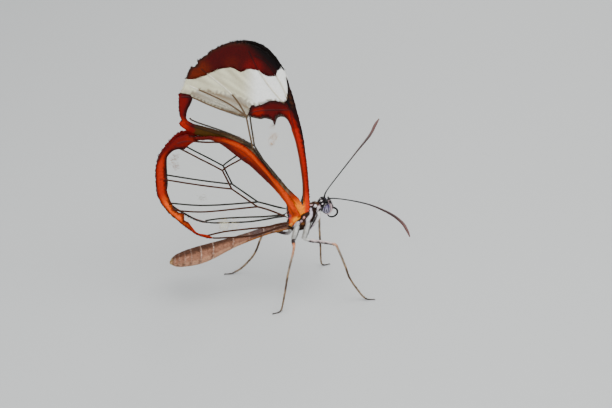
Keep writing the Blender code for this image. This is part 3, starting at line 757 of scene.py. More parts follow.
SCALE_SHAPE = ((0.0, 0.0), (0.25, -0.75), (0.8, -1.0), (1.0, -0.3), (1.0, 0.3), (0.8, 1.0),
               (0.25, 0.75))
HAIR_SHAPE = ((0.0, -0.8), (0.4, -1.0), (1.0, 0.0), (0.4, 1.0), (0.0, 0.8))
WING_SCALE = flake("wing_scale", 0.26, 0.075, 0.014, SCALE_SHAPE)
WING_HAIR = flake("wing_hair", 0.42, 0.024, 0.016, HAIR_SHAPE)
# A flake's own stretch of its coat's map.
UV_PATCH = 0.003


def own_points(obj):
    """A piece's points in the insect's frame, in mm."""
    return np.array([v.co for v in obj.data.vertices]) / MM - BODY_SHIFT


def dress(name, skin, coat, seed, lay, thick, unwrap, broadside=-1.0):
    """Cover a skin with one coat of flakes, and lay out their OFBake map."""
    unit, density, (smallest, largest), lift, mat = coat
    mesh = skin.data.copy()
    ground = new_object(name, mesh)
    direction = mesh.attributes.new("Lay", "FLOAT_VECTOR", "POINT")
    direction.data.foreach_set("vector", np.asarray(lay, float).ravel())
    share = mesh.attributes.new("Cover", "FLOAT", "POINT")
    share.data.foreach_set("value", np.asarray(thick, float))
    made = grow(ground, COVER_TREE, Scale=unit, Per_square_metre=density / MM ** 2, Seed=seed,
                Smallest=smallest, Largest=largest, Lift=lift, Broadside=broadside, Finish=mat)
    root, local = (np.empty(len(made.vertices) * 3) for _ in range(2))
    made.attributes["Root"].data.foreach_get("vector", root)
    made.attributes["Local"].data.foreach_get("vector", local)
    corner = np.empty(len(made.loops), int)
    made.loops.foreach_get("vertex_index", corner)
    spot = unwrap(root.reshape(-1, 3) / MM - BODY_SHIFT) + UV_PATCH * local.reshape(-1, 3)[:, :2]
    layer = made.uv_layers.new(name="OFBake")
    layer.data.foreach_set("uv", np.clip(spot[corner], 0.0, 1.0).ravel())
    for label in ("Root", "Local", "Lay", "Cover"):
        if label in made.attributes:
            made.attributes.remove(made.attributes[label])
    made.shade_smooth()
    return ground


WING_LOW, WING_HIGH = np.array((-21.0, 9.5)), np.array((2.0, 40.0))
# Flakes lie on the broad faces of a wing only, not on its edges.
WING_BROADSIDE = 0.5


def wing_dress(name, skin, coat, seed, thick, side, pivot, camber):
    """Scales point away from a place on the wing; its two faces have their maps side by side."""
    points = own_points(skin)
    lay = np.column_stack((points[:, 0] - pivot[0], np.zeros(len(points)), points[:, 2] - pivot[1]))

    def unwrap(p):
        plan = p[:, [0, 2]]
        u, v = ((plan - WING_LOW) / (WING_HIGH - WING_LOW)).T
        inner = side * p[:, 1] < camber(plan)
        return np.column_stack((0.01 + 0.48 * u + 0.5 * inner, 0.01 + 0.98 * v))

    return dress(name, skin, coat, seed, lay, thick, unwrap, WING_BROADSIDE)


def shaded_material(name, roughness, shine):
    """Colour from the piece's paint, lighter or darker by each flake's own shade."""
    mat = plain_material(name, GREY, roughness, Specular_IOR_Level=shine)
    tree = mat.node_tree
    paint, shade = (wired(tree, "ShaderNodeAttribute", attribute_name=label)
                    for label in ("Paint", "Shade"))
    both = wired(tree, "ShaderNodeVectorMath", {0: paint, "Scale": shade.outputs["Fac"]},
                 operation="SCALE")
    tree.links.new(both.outputs["Vector"], tree.nodes["Principled BSDF"].inputs["Base Color"])
    return mat


SCALE_FINISH = shaded_material("wing_scale_coat", 0.6, 0.15)
BLOOM_FINISH = shaded_material("white_bloom_coat", 0.6, 0.3)
VEIN = painted_material("wing_vein", 0.5, 0.1, 4000.0, 0.0, 0.15)
# A coat: its flake, how many to a square mm, smallest and largest size, lift in radians, finish.
SCALE_COAT = (WING_SCALE, 34.0, (0.75, 1.15), 0.12, SCALE_FINISH)
BLOOM_COAT = (WING_HAIR, 34.0, (0.8, 1.3), 0.1, BLOOM_FINISH)
LOOSE_AND_GLINT_COAT = (WING_HAIR, 130.0, (0.4, 0.8), 0.1, SCALE_FINISH)
# Where the bloom is dense enough to carry hairs.
BLOOM_ALPHA = (0.55, 0.95)
# Where scales still cling to the clear membrane: place, radius, thickness and colour.
FOREWING_SMUDGES = (
    (-4.1, 24.6, 0.8, 0.3, (210, 172, 128)), (-4.3, 23.5, 0.5, 0.4, (200, 156, 108)),
    (-4.3, 26.2, 0.4, 0.4, (120, 100, 84)), (-6.9, 24.6, 0.5, 0.15, (206, 176, 140)),
)


def loose_scales_and_glints(name, membrane, side, stains_and_glints, camber):
    """Sparse scales and hairs on the clear part of the outer face: stains, and white ones as a painted
    highlight where the list gives them.
    """
    plan = own_points(membrane)[:, [0, 2]]
    colour = even(plan, *stains_and_glints[0][4])
    thick = np.zeros(len(plan))
    for x, z, radius, share, shade in stains_and_glints:
        weight = blot(plan, x, z, radius)
        colour = washed(colour, (shade, weight))
        thick = np.maximum(thick, weight * share)
    set_colours(membrane.data, "Paint", colour)
    return wing_dress(name, membrane, LOOSE_AND_GLINT_COAT, 14, thick, side, FOREWING_PIVOT, camber)


for label, side in SIDES:
    shift = MARK_SHIFT[label]
    marks = [np.array(mark) + mark_offset(np.array(mark), shift) for mark in FOREWING_MARKS]
    spots, faces, centres, forewing_rim = wing_plan(FOREWING_OUTLINE, marks)
    area = forewing_regions(unmoved(centres, shift))
    membrane = wing_shell("forewing_membrane_" + label, forewing_sheet, side, spots, faces,
                          MEMBRANE_HALF, forewing_rim, None, CLEAR)
    scaled = wing_shell("forewing_borders_" + label, forewing_sheet, side, spots,
                        faces[area["scaled"]], SCALED_HALF, forewing_rim, forewing_paint, SCALED,
                        shift)
    pale = wing_shell("forewing_white_" + label, forewing_sheet, side, spots,
                      faces[area["band"] | area["veil"]], PALE_HALF, forewing_rim,
                      forewing_pale_paint, PALE, shift)
    veins = wing_veins("forewing_veins_" + label, forewing_sheet, side, FOREWING_VEINS,
                       forewing_vein_outer, forewing_vein_inner, VEIN)
    scales = wing_dress("forewing_scales_" + label, scaled, SCALE_COAT, 11,
                        np.ones(len(scaled.data.vertices)), side, FOREWING_PIVOT, forewing_camber)
    bloom = smooth(*BLOOM_ALPHA, read_colours(pale.data, "Paint")[:, 3])
    hairs = wing_dress("forewing_bloom_" + label, pale, BLOOM_COAT, 12, bloom, side, STREAK_PIVOT,
                       forewing_camber)
    pieces = [membrane, scaled, pale, veins, scales, hairs]
    if side < 0:
        pieces.append(loose_scales_and_glints("forewing_smudges_" + label, membrane, side, FOREWING_SMUDGES,
                                   forewing_camber))
    fasten("wing", ("forewing_" + label,), *pieces)

# Hindwings: two shorter, rounder sheets outside the forewings, bowed out over the abdomen.
# Clear membrane inside a scaled ring, orange outside and dark brown inside, hinged at the thorax.
HINDWING_OUTLINE = (
    (-1.4, 11.45), (-0.75, 12.6), (-1.15, 13.7), (-2.2, 15.8), (-4.9, 19.9), (-7.9, 24.0),
    (-11.2, 25.9), (-14.2, 26.3), (-16.2, 26.3), (-17.6, 25.7), (-18.8, 24.4), (-19.8, 22.9), (-20.2, 21.2),
    (-20.1, 17.7), (-19.0, 15.3), (-16.9, 13.1), (-14.8, 11.4), (-12.5, 10.7), (-7.8, 10.4),
    (-5.0, 10.7), (-2.7, 11.1), (-1.95, 10.95),
)
RING_EDGE = (
    (-16.2, 24.2), (-17.0, 24.3), (-17.8, 24.1), (-18.6, 23.2), (-18.8, 21.7), (-18.8, 19.8),
    (-18.8, 18.3), (-18.4, 16.6), (-18.0, 15.4), (-17.4, 14.8), (-16.7, 14.5), (-16.7, 13.7),
    (-16.2, 13.4), (-15.6, 12.5), (-15.0, 11.8), (-13.8, 11.4), (-13.0, 10.9), (-12.6, 10.3),
)
LEADING_EDGE = (
    (-16.2, 24.2), (-15.8, 24.6), (-15.0, 25.3), (-14.2, 25.7), (-13.2, 25.8), (-12.0, 25.3),
    (-11.0, 24.5), (-9.5, 23.0), (-8.4, 21.9), (-7.6, 21.2), (-6.0, 19.3), (-4.3, 17.2), (-3.1, 15.4),
    (-2.45, 14.2), (-2.35, 12.6), (-2.25, 11.6), (-2.25, 10.4),
)
# The left ring is read from inside, where it is narrower along the hind margin.
LEFT_RING_EDGE = (*RING_EDGE[:7], (-19.1, 16.8), (-18.5, 15.4), (-17.7, 14.3), (-16.3, 12.95),
                  (-15.0, 11.85), (-13.7, 11.2), (-13.0, 10.95), (-12.6, 10.3))
RING_EDGES = {"right": RING_EDGE, "left": LEFT_RING_EDGE}
HIND_LINE = ((-13.0, 10.9), (-12.3, 10.75), (-7.8, 10.45), (-5.0, 10.75), (-2.6, 11.25))
LEFT_HINDWING_FORWARD = 0.3
# The hindwings lap the forewings' hind edge, and bow out below a sloping line.
HIND_MARGIN = FOREWING_OUTLINE[:40:-1]
LAP_WIDTH = (0.6, 3.6)
HINDWING_STAND = 0.65
HINDWING_BOW = 1.45
BOW_DEPTH = 5.2
BOW_TOP = (-6.5, 14.2)
BOW_SLOPE = 0.2
HINGE = (-1.5, 11.4)
HINGE_REACH = (0.3, 1.8)
# The sheets lap more closely than the solids do; the slide keeps their place in the view.
SOLID_PITCH = 1.05
SHEET_PITCH = 0.35
SLIDE_FORWARD = 0.21
SLIDE_DOWN = 0.59


def hindwing_camber(p, pitch=SHEET_PITCH):
    """The hindwing lies outside the forewing, comes in below it and bows out round the abdomen."""
    distance, way = nearest(p, HIND_MARGIN)
    lap = 1.0 - smooth(*LAP_WIDTH, distance * way)
    depth = BOW_TOP[1] + (BOW_TOP[0] - p[:, 0]) * BOW_SLOPE - p[:, 1]
    low = HINDWING_STAND + HINDWING_BOW * smooth(0.0, BOW_DEPTH, depth)
    free = (1.0 - lap) * low + lap * np.maximum(low, forewing_camber(p) + pitch)
    near_root = 1.0 - smooth(*HINGE_REACH, np.hypot(p[:, 0] - HINGE[0], p[:, 1] - HINGE[1]))
    return free * (1.0 - near_root) + HINDWING_BOW * near_root


def hindwing_sheet(side, p):
    """Where the hindwing's middle lies: forward, up, and off the midline."""
    camber = hindwing_camber(p)
    closed = hindwing_camber(p, SOLID_PITCH) - camber
    x = p[:, 0] + closed * SLIDE_FORWARD
    z = p[:, 1] - closed * SLIDE_DOWN
    if side > 0:
        x = x + LEFT_HINDWING_FORWARD
    return x, z, camber


def hindwing_clear(p, ring_edge):
    return inside(p, area_inside(LEADING_EDGE[::-1], ring_edge, ((-12.6, 8.0), (-2.25, 8.0))))


def hindwing_paint(p, outer, shift):
    """Orange ring with a dark inner edge and a painted highlight along the front edge, gold at the root;
    the inside is dark brown.
    """
    x, z = p[:, 0], p[:, 1]
    edge = nearest(p, hindwing_rim)[0]
    ring, lead = nearest(p, RING_EDGE)[0], nearest(p, LEADING_EDGE)[0]
    # A painted highlight: a lighter gold line a little inside the rim along the front edge.
    painted_highlight = smooth(0.66, 0.46, edge) * smooth(0.12, 0.34, edge) * smooth(-13.0, -9.0, x)
    colour = washed(
        even(p, 172, 60, 2),
        ((160, 62, 2), smooth(-15.5, -12.0, x)),
        ((234, 118, 2), blot(p, -17.8, 14.8, 3.6) * 0.85),
        ((108, 26, 5), blot(p, -17.6, 25.6, 3.8) * 0.95),
        ((84, 28, 8), blot(p, -13.8, 26.2, 2.2) * 0.95),
        ((100, 14, 6), smooth(0.36, 0.08, edge) * 0.85),
        ((38, 8, 5), smooth(0.5, 0.16, ring) * smooth(-15.4, -16.4, x) * 0.92),
        ((64, 12, 4), smooth(0.95, 0.4, lead) * smooth(-14.5, -11.0, x) * 0.85),
        ((202, 96, 8), painted_highlight * 0.6),
        ((198, 88, 0), smooth(-5.5, -2.4, x) * 0.9),
        ((136, 58, 6), blot(p, -1.8, 13.3, 0.8) * 0.8),
        ((250, 168, 0), blot(p, -1.2, 12.1, 0.9)),
        ((240, 200, 130), blot(p, -2.0, 11.2, 0.4) * 0.8),
        ((104, 92, 116), smooth(0.24, 0.08, lead) * blot(p, -2.6, 12.9, 0.6) * 0.9))
    if not outer:
        colour = washed(even(p, 26, 16, 10), ((120, 22, 8), smooth(22.0, 25.0, z) * 0.9))
    return colour


CLEARER = plain_material("clear_hind_membrane", tone(222, 226, 216), 0.18, Alpha=0.014, IOR=1.45)
HINDWING_VEINS = (
    ((-1.4, 12.6), (-3.8, 17.0), (-7.8, 22.7), (-11.3, 25.1), (-15.6, 25.4), (-17.2, 25.2)),
    ((-2.1, 12.5), (-6.5, 14.2)),
    ((-6.5, 14.2), (-10.0, 17.4)),
    ((-10.0, 17.4), (-11.2, 20.4)),
    ((-11.2, 20.4), (-9.1, 22.2), (-7.8, 22.7)),
    ((-11.2, 20.4), (-13.7, 22.2), (-17.6, 24.9)),
    ((-10.0, 17.4), (-14.3, 18.5), (-19.7, 20.1)),
    ((-6.5, 14.2), (-13.8, 14.4), (-18.5, 15.3)),
    ((-2.0, 11.7), (-4.9, 11.3), (-7.8, 11.4), (-11.3, 11.5), (-13.7, 11.3)),
    HIND_LINE,
)
# Stains of clinging scales on the hindwing, as on the forewing; the last two white ones are a painted
# highlight, the glint of light on the membrane.
HINDWING_SMUDGES_AND_GLINT = (
    (-17.4, 23.0, 0.7, 0.3, (140, 104, 60)), (-17.4, 21.7, 0.6, 0.4, (150, 96, 52)),
    (-14.0, 16.5, 0.7, 0.12, (140, 130, 90)), (-17.9, 22.3, 0.5, 0.2, (160, 120, 70)),
    (-11.2, 12.35, 1.0, 0.5, (240, 236, 214)), (-9.8, 12.1, 0.9, 0.3, (240, 236, 214)),
)


def hindwing_vein_outer(p):
    scaled = ~hindwing_clear(p, RING_EDGE)
    return np.where(scaled[:, None], hindwing_paint(p, True, 0.0) * 0.6, even(p, 66, 36, 14))


def hindwing_vein_inner(p):
    return even(p, 26, 24, 14)


for label, side in SIDES:
    marks = (RING_EDGES[label], LEADING_EDGE)
    spots, faces, centres, hindwing_rim = wing_plan(HINDWING_OUTLINE, marks)
    membrane = wing_shell("hindwing_membrane_" + label, hindwing_sheet, side, spots, faces,
                          MEMBRANE_HALF, hindwing_rim, None, CLEARER)
    scaled = wing_shell("hindwing_borders_" + label, hindwing_sheet, side, spots,
                        faces[~hindwing_clear(centres, RING_EDGES[label])], SCALED_HALF,
                        hindwing_rim, hindwing_paint, SCALED)
    veins = wing_veins("hindwing_veins_" + label, hindwing_sheet, side, HINDWING_VEINS,
                       hindwing_vein_outer, hindwing_vein_inner, VEIN)
    scales = wing_dress("hindwing_scales_" + label, scaled, SCALE_COAT, 13,
                        np.ones(len(scaled.data.vertices)), side, FOREWING_PIVOT, hindwing_camber)
    pieces = [membrane, scaled, veins, scales]
    # The near hindwing also gets its stains and the painted highlight.
    if side < 0:
        pieces.append(loose_scales_and_glints("hindwing_smudges_" + label, membrane, side, HINDWING_SMUDGES_AND_GLINT,
                                   hindwing_camber))
    fasten("wing", ("hindwing_" + label,), *pieces)

# Body: one skin over thorax, head and abdomen, as a soft-scaled hide over a horny shell.
# Dark brown with white stripes in front, grey-brown and ringed behind.
THORAX_EGGS = (
    ((0.0, 0.0, 11.6), (2.5, 1.65, 1.55), 38.0),
    ((1.7, 0.0, 12.95), (0.7, 0.95, 0.8), 40.0),
    ((-0.2, 0.0, 10.5), (1.5, 1.2, 0.9), 20.0),
    ((-1.35, 0.0, 10.6), (1.0, 1.3, 1.05), 20.0),
)
HEAD_EGG = ((2.9, 0.0, 13.0), (0.88, 1.05, 1.12), 20.0)
NECK_PATH = ((1.6, 0, 12.9, 0.45), (2.6, 0, 13.0, 0.45))
ABDOMEN_PATH = (
    (-1.2, 0, 10.4, 0.55), (-3.4, 0, 10.15, 0.64), (-5.5, 0, 9.75, 0.62), (-9.5, 0, 8.65, 0.76),
    (-12.65, 0, 7.65, 1.12), (-14.6, 0, 7.1, 1.27), (-16.6, 0, 6.75, 1.16), (-18.0, 0, 6.5, 0.84),
    (-18.75, 0, 6.38, 0.28),
)
# The skin lies this far under the coat's outer face, on the thorax and head and on the abdomen.
COAT_DEPTH = 0.12
HIDE_DEPTH = 0.05
SKIN_GRAIN = 0.09


def egg_mesh(shape, centre, half, pitch, shrink=0.0, segments=32, rings=20):
    size = Vector(half) - Vector((shrink, shrink, shrink))
    spot = (Matrix.Translation(Vector(centre)) @ Matrix.Rotation(math.radians(-pitch), 4, "Y")
            @ Matrix.Diagonal((*size, 1.0)))
    bmesh.ops.create_uvsphere(shape, u_segments=segments, v_segments=rings, radius=1.0,
                              matrix=spot)


def tube_mesh(shape, samples, sides=20):
    """A closed round bar along (x, y, z, radius) samples, in mm, with a point at each end."""
    turns = np.arange(sides) * 2.0 * math.pi / sides
    rings = []
    for i, sample in enumerate(samples):
        along = Vector(samples[min(i + 1, len(samples) - 1)][:3] - samples[max(i - 1, 0)][:3])
        across = along.to_track_quat("Z", "Y")
        rings.append([shape.verts.new(Vector(sample[:3]) + across @ Vector(
            (sample[3] * math.cos(turn), sample[3] * math.sin(turn), 0))) for turn in turns])
    for low, high in zip(rings[:-1], rings[1:]):
        for k in range(sides):
            shape.faces.new((low[k], low[(k + 1) % sides], high[(k + 1) % sides], high[k]))
    for ring in (rings[0], rings[-1]):
        middle = shape.verts.new(sum((v.co for v in ring), Vector()) / sides)
        for k in range(sides):
            shape.faces.new((ring[k], ring[(k + 1) % sides], middle))
    bmesh.ops.recalc_face_normals(shape, faces=shape.faces)


body_shape = bmesh.new()
for centre, half, pitch in THORAX_EGGS:
    egg_mesh(body_shape, centre, half, pitch, COAT_DEPTH)
egg_mesh(body_shape, *HEAD_EGG, COAT_DEPTH)
tube_mesh(body_shape, spline(NECK_PATH, 0.3))
abdomen_samples = spline(ABDOMEN_PATH, 0.15)
abdomen_samples[:, 3] -= HIDE_DEPTH
tube_mesh(body_shape, abdomen_samples, 28)
body_mesh = bpy.data.meshes.new("body_skin")
body_shape.to_mesh(body_mesh)
body_shape.free()
body_skin = new_object("body_skin", body_mesh)
weld = body_skin.modifiers.new("one_skin", "REMESH")
weld.mode = "VOXEL"
weld.voxel_size = SKIN_GRAIN
soften = body_skin.modifiers.new("soften", "SMOOTH")
soften.factor = 0.5
soften.iterations = 4
body_mesh = evaluated_mesh(body_skin)

WHITE_FUR = (232, 226, 228)
BLACK_FUR = (20, 15, 16)
# Marks on each side, by points (x, distance from the midline, z), radius and colour.
BODY_MARKS = (
    (((1.45, 0.78, 13.05), (1.42, 1.04, 12.55), (1.32, 1.13, 11.83), (1.0, 1.02, 11.08)), 0.30,
     (44, 26, 14)),
    (((1.0, 1.05, 11.4), (0.9, 1.1, 10.6), (0.5, 1.0, 9.9)), 0.22, BLACK_FUR),
    (((1.48, 0.22, 13.54),), 0.26, (52, 32, 22)),
    (((1.08, 0.62, 13.26), (1.62, 0.76, 13.15)), 0.10, BLACK_FUR),
    (((0.85, 0.87, 13.11), (0.93, 1.18, 12.69), (0.87, 1.36, 12.21)), 0.22, (212, 204, 214)),
    (((1.65, 0.62, 13.36),), 0.22, WHITE_FUR),
    (((0.83, 0.3, 13.40), (1.2, 0.36, 13.42)), 0.12, (226, 196, 198)),
    (((0.0, 0.7, 13.04),), 0.20, (176, 172, 212)),
    (((2.06, 0.64, 13.0), (2.0, 0.75, 12.4), (1.7, 0.8, 11.9)), 0.28, WHITE_FUR),
    (((-0.12, 1.40, 12.17),), 0.17, (222, 176, 174)),
    (((-0.53, 1.45, 11.65),), 0.18, (224, 196, 200)),
    (((-0.31, 1.49, 11.26),), 0.26, (136, 94, 62)),
    (((-0.62, 1.30, 10.66),), 0.16, (50, 40, 22)),
    (((-1.02, 1.31, 11.31), (-1.2, 1.2, 10.9)), 0.34, WHITE_FUR),
    (((0.68, 1.42, 12.08), (0.44, 1.48, 11.82), (0.4, 1.3, 11.2)), 0.32, WHITE_FUR),
    (((-1.91, 0.54, 10.05),), 0.34, (66, 36, 20)),
    (((-1.86, 0.90, 10.85),), 0.20, (230, 188, 128)),
    (((2.54, 0.28, 13.87),), 0.14, WHITE_FUR),
    (((2.62, 0.70, 13.58),), 0.12, WHITE_FUR),
    (((2.44, 0.92, 13.2),), 0.10, (206, 200, 216)),
    (((2.25, 0.52, 13.26),), 0.14, (224, 200, 206)),
    (((3.30, 0.16, 13.95),), 0.14, (206, 204, 220)),
    (((3.65, 0.25, 13.45), (3.72, 0.3, 12.8)), 0.16, WHITE_FUR),
    (((2.20, 0.90, 12.95), (2.35, 0.85, 12.45), (2.3, 0.8, 12.1)), 0.30, (222, 210, 220)),
    (((2.14, 0.85, 12.75), (2.2, 0.85, 12.5)), 0.11, (150, 132, 142)),
    (((2.10, 0.14, 13.44),), 0.22, (96, 68, 50)),
)
# Seams between the abdomen's rings: where, and how strongly they show.
ABDOMEN_RINGS = ((-4.2, 0.4), (-5.7, 0.4), (-7.7, 0.2), (-9.95, 0.4), (-12.8, 0.75), (-14.55, 0.5),
                 (-15.9, 0.2), (-16.8, 0.2), (-17.6, 0.2), (-18.2, 0.2))


def near_marks(p, path):
    """3D distance from a mark, which is a point or a run of points, on either side of the body."""
    q = np.column_stack((p[:, 0], np.abs(p[:, 1]), p[:, 2]))
    path = np.array(path, float)
    if len(path) == 1:
        return np.linalg.norm(q - path[0], axis=1)
    best = np.full(len(q), 1e9)
    for start, end in zip(path[:-1], path[1:]):
        run = end - start
        t = np.clip((q - start) @ run / (run @ run), 0.0, 1.0)
        best = np.minimum(best, np.linalg.norm(q - start - t[:, None] * run, axis=1))
    return best


def abdomen_at(x, value):
    """The height (value 2) or radius (value 3) of the abdomen's path at places along it."""
    path = np.array(ABDOMEN_PATH)
    return np.interp(-x, -path[:, 0], path[:, value])


def body_paint(p):
    """Brown thorax with white stripes, black-and-white head, grey-brown ringed abdomen."""
    x, y, z = p.T
    colour = washed(
        even(p, 58, 38, 28),
        ((104, 84, 70), smooth(0.5, 0.1, np.abs(y)) * smooth(12.4, 13.0, z)),
        (BLACK_FUR, smooth(2.1, 2.3, x)),
        *((shade, smooth(radius * 1.15, radius * 0.7, near_marks(p, path)))
          for path, radius, shade in BODY_MARKS))
    height = (z - abdomen_at(x, 2)) / np.maximum(abdomen_at(x, 3), 0.2)
    front = smooth(-9.6, -7.0, x)
    hide = washed(
        even(p, 196, 158, 136),
        ((164, 126, 108), smooth(-0.1, 0.25, height)),
        ((78, 52, 40), smooth(0.6, 0.95, height) * 0.85),
        ((116, 86, 78), front * smooth(-0.2, 0.2, height) * 0.8),
        ((90, 70, 72), smooth(1.4, 0.5, np.abs(x + 6.3)) * smooth(-0.5, 0.0, height) * 0.7),
        ((156, 104, 50), front * smooth(0.0, -0.3, height)),
        ((232, 212, 178), smooth(-0.66, -0.9, height)))
    for ring, strength in ABDOMEN_RINGS:
        lean = x - ring - 0.12 * height
        fleck = np.hypot(lean + 0.1, (height + 0.22) * 0.9)
        hide = washed(
            hide,
            ((110, 78, 66), smooth(0.34, 0.12, np.abs(lean + 0.16)) * 0.3),
            ((232, 212, 198), smooth(0.08, 0.03, np.abs(lean)) * strength),
            ((70, 46, 38), smooth(0.3, 0.1, fleck) * 0.6))
    hide = washed(hide, ((206, 180, 140), smooth(-18.2, -18.7, x) * 0.6))
    return mix(colour, hide, smooth(-1.9, -2.6, x))


def body_unwrap(p):
    """Along the body, and round it from under the belly."""
    axis = np.where(p[:, 0] > -1.2, 10.3 + 0.65 * (p[:, 0] + 1.2), abdomen_at(p[:, 0], 2))
    round_it = np.arctan2(p[:, 1], p[:, 2] - axis) / (2 * math.pi) + 0.5
    return np.column_stack((0.01 + 0.98 * (p[:, 0] + 19.5) / 24.5, 0.01 + 0.98 * round_it))


points = np.array([v.co for v in body_mesh.vertices])
set_colours(body_mesh, "Paint", body_paint(points))
body_mesh.vertices.foreach_set("co", place(points).ravel())
body_mesh.shade_smooth()
body_mesh.materials.append(painted_material("body_hide", 0.7, 0.18, 6000.0, 0.5, 0.15))
HAIR_FINISH = shaded_material("hair_coat", 0.6, 0.2)
BODY_HAIR = flake("body_hair", 0.34, 0.022, 0.016, HAIR_SHAPE)
BODY_SCALE = flake("body_scale", 0.2, 0.06, 0.012, SCALE_SHAPE)
FUR_COAT = (BODY_HAIR, 42.0, (0.6, 1.25), 0.32, HAIR_FINISH)
ABDOMEN_COAT = (BODY_SCALE, 34.0, (0.7, 1.2), 0.1, HAIR_FINISH)
WAIST = -1.5
ones = np.ones(len(points))
back_lay = np.column_stack((-ones, np.sign(points[:, 1]) * 0.15, -0.45 * ones))
back_lay[points[:, 0] < WAIST] = (-1.0, 0.0, -0.25)
furry = smooth(-2.2, -1.4, points[:, 0])
body_fur = dress("body_fur", body_skin, FUR_COAT, 21, back_lay, furry, body_unwrap)
body_scales = dress("body_scales", body_skin, ABDOMEN_COAT, 22, back_lay, 1.0 - furry, body_unwrap)
fasten("body_scales", ("thorax", "head", "abdomen"), body_skin, body_fur)
fasten("abdomen_scales", ("thorax", "head", "abdomen"), body_scales)

# Eyes: large domed eyes of a museum model, dark and glossy with pale stripes fanning down.
# Each is set into the side of the head on a black rim.
EYE_CENTRE = (3.05, 0.95, 12.95)
EYE_HALF = (0.64, 0.42, 0.84)
EYE_PITCH = 15.0


def eye_paint(p):
    """Pale lilac loops, nested inside each other and open at the top, over a dark dome, with a painted
    purple sheen on its upper part.
    """
    z = (p[:, 2] - EYE_CENTRE[2]) / EYE_HALF[2]
    x = (p[:, 0] - EYE_CENTRE[0]) / EYE_HALF[0] - 0.16 * z
    rise = np.minimum(z + 0.3, 0.0) + np.maximum(z + 0.3, 0.0) * 0.28
    ring = np.hypot(x * 1.05 + 0.05, rise)
    loop = smooth(0.45, 0.8, 0.5 + 0.5 * np.cos(ring * 14.0 + 2.9))
    return washed(
        even(p, 26, 18, 34),
        ((178, 174, 192), loop * smooth(0.95, 0.5, z) * 0.85),
        # The upper part is tinted purple as a painted sheen.
        ((70, 52, 96), smooth(0.05, 0.45, z) * 0.5),
        (BLACK_FUR, smooth(0.72, 0.84, np.hypot(x, z)) * smooth(0.35, -0.1, x)))


EYE = painted_material("eye_glass", 0.16, 0.08, 5000.0, 0.0)
for label, side in SIDES:
    shape = bmesh.new()
    centre = (EYE_CENTRE[0], side * EYE_CENTRE[1], EYE_CENTRE[2])
    egg_mesh(shape, centre, EYE_HALF, EYE_PITCH, segments=64, rings=40)
    mesh = bpy.data.meshes.new("eye_" + label)
    shape.to_mesh(mesh)
    shape.free()
    points = np.array([v.co for v in mesh.vertices])
    set_colours(mesh, "Paint", eye_paint(points))
    mesh.vertices.foreach_set("co", place(points).ravel())
    mesh.shade_smooth()
    mesh.materials.append(EYE)
    eye = new_object("eye_dome_" + label, mesh)
    fasten("eye", ("eye_" + label,), eye)

# Palps: two short furred feelers that stand up in front of the face beside the coiled tongue.
# Each is one soft white limb with a black front edge, rooted under the face.
PALP_PATH = (
    (3.0, 0.50, 12.1, 0.20), (3.42, 0.58, 12.0, 0.22), (3.72, 0.62, 12.45, 0.23),
    (3.9, 0.62, 12.95, 0.23), (3.82, 0.60, 13.4, 0.18), (3.6, 0.54, 13.85, 0.07),
)


def mirrored(path, side):
    path = np.array(path, float)
    path[:, 1] *= side
    return path


def as_run(samples):
    """Places and radii of a round bar from (x, y, z, radius) samples in mm."""
    return place(samples[:, :3]), samples[:, 3]


FUR = painted_material("white_fur", 0.7, 0.12, 7000.0, 0.4)
LIMB_FUR_COAT = (BODY_HAIR, 60.0, (0.5, 1.0), 0.3, HAIR_FINISH)


def furred_limb(node, path, side, paint, lay):
    """One small round limb painted by place and facing, and covered in hair."""
    limb = bars(node + "_skin", [as_run(spline(mirrored(path, side), 0.1))], FUR, 14)
    points = own_points(limb)
    normals = np.array([v.normal for v in limb.data.vertices])
    set_colours(limb.data, "Paint", paint(points, normals))
    fur = dress(limb.name + "_hair", limb, LIMB_FUR_COAT, 23, np.tile(lay, (len(points), 1)),
                np.ones(len(points)), body_unwrap)
    fasten("white_scales", (node,), limb, fur)


def palp_paint(p, normals):
    """White with a pink cast, black along the front edge and at the tip."""
    return washed(
        even(p, 206, 188, 190),
        (BLACK_FUR, smooth(0.0, 0.35, normals[:, 0]) * smooth(12.5, 12.9, p[:, 2])),
        (BLACK_FUR, smooth(13.35, 13.6, p[:, 2])))


for label, side in SIDES:
    furred_limb("palp_" + label, PALP_PATH, side, palp_paint, (0.1, 0.0, 1.0))

# Proboscis: the black sucking tube, one bare horny pipe hung in an open turn under the face.
# It is rooted between the palps and thins towards its free end.
COIL_CENTRE = (4.16, 11.68)
COIL_RADIUS = 0.73
COIL_TURNS = (80.0, -165.0)
COIL_STEPS = 60
COIL_TUBE = 0.14
coil_turn = np.radians(np.linspace(*COIL_TURNS, COIL_STEPS))
coil_thin = 1.0 - 0.5 * np.linspace(0.0, 1.0, COIL_STEPS) ** 4
coil = np.column_stack((COIL_CENTRE[0] + COIL_RADIUS * np.cos(coil_turn), np.zeros(COIL_STEPS),
                        COIL_CENTRE[1] + COIL_RADIUS * np.sin(coil_turn), COIL_TUBE * coil_thin))
coil = spline(np.vstack(((3.4, 0.0, 12.5, COIL_TUBE), coil)), 0.1)
black_chitin = painted_material("black_chitin", 0.4, 0.1, 6000.0, 0.0, 0.2)
tongue = bars("proboscis_tube", [as_run(coil)], black_chitin, 16,
              (("Paint", even(coil, 16, 13, 14)),))
fasten("black_chitin", ("proboscis",), tongue)

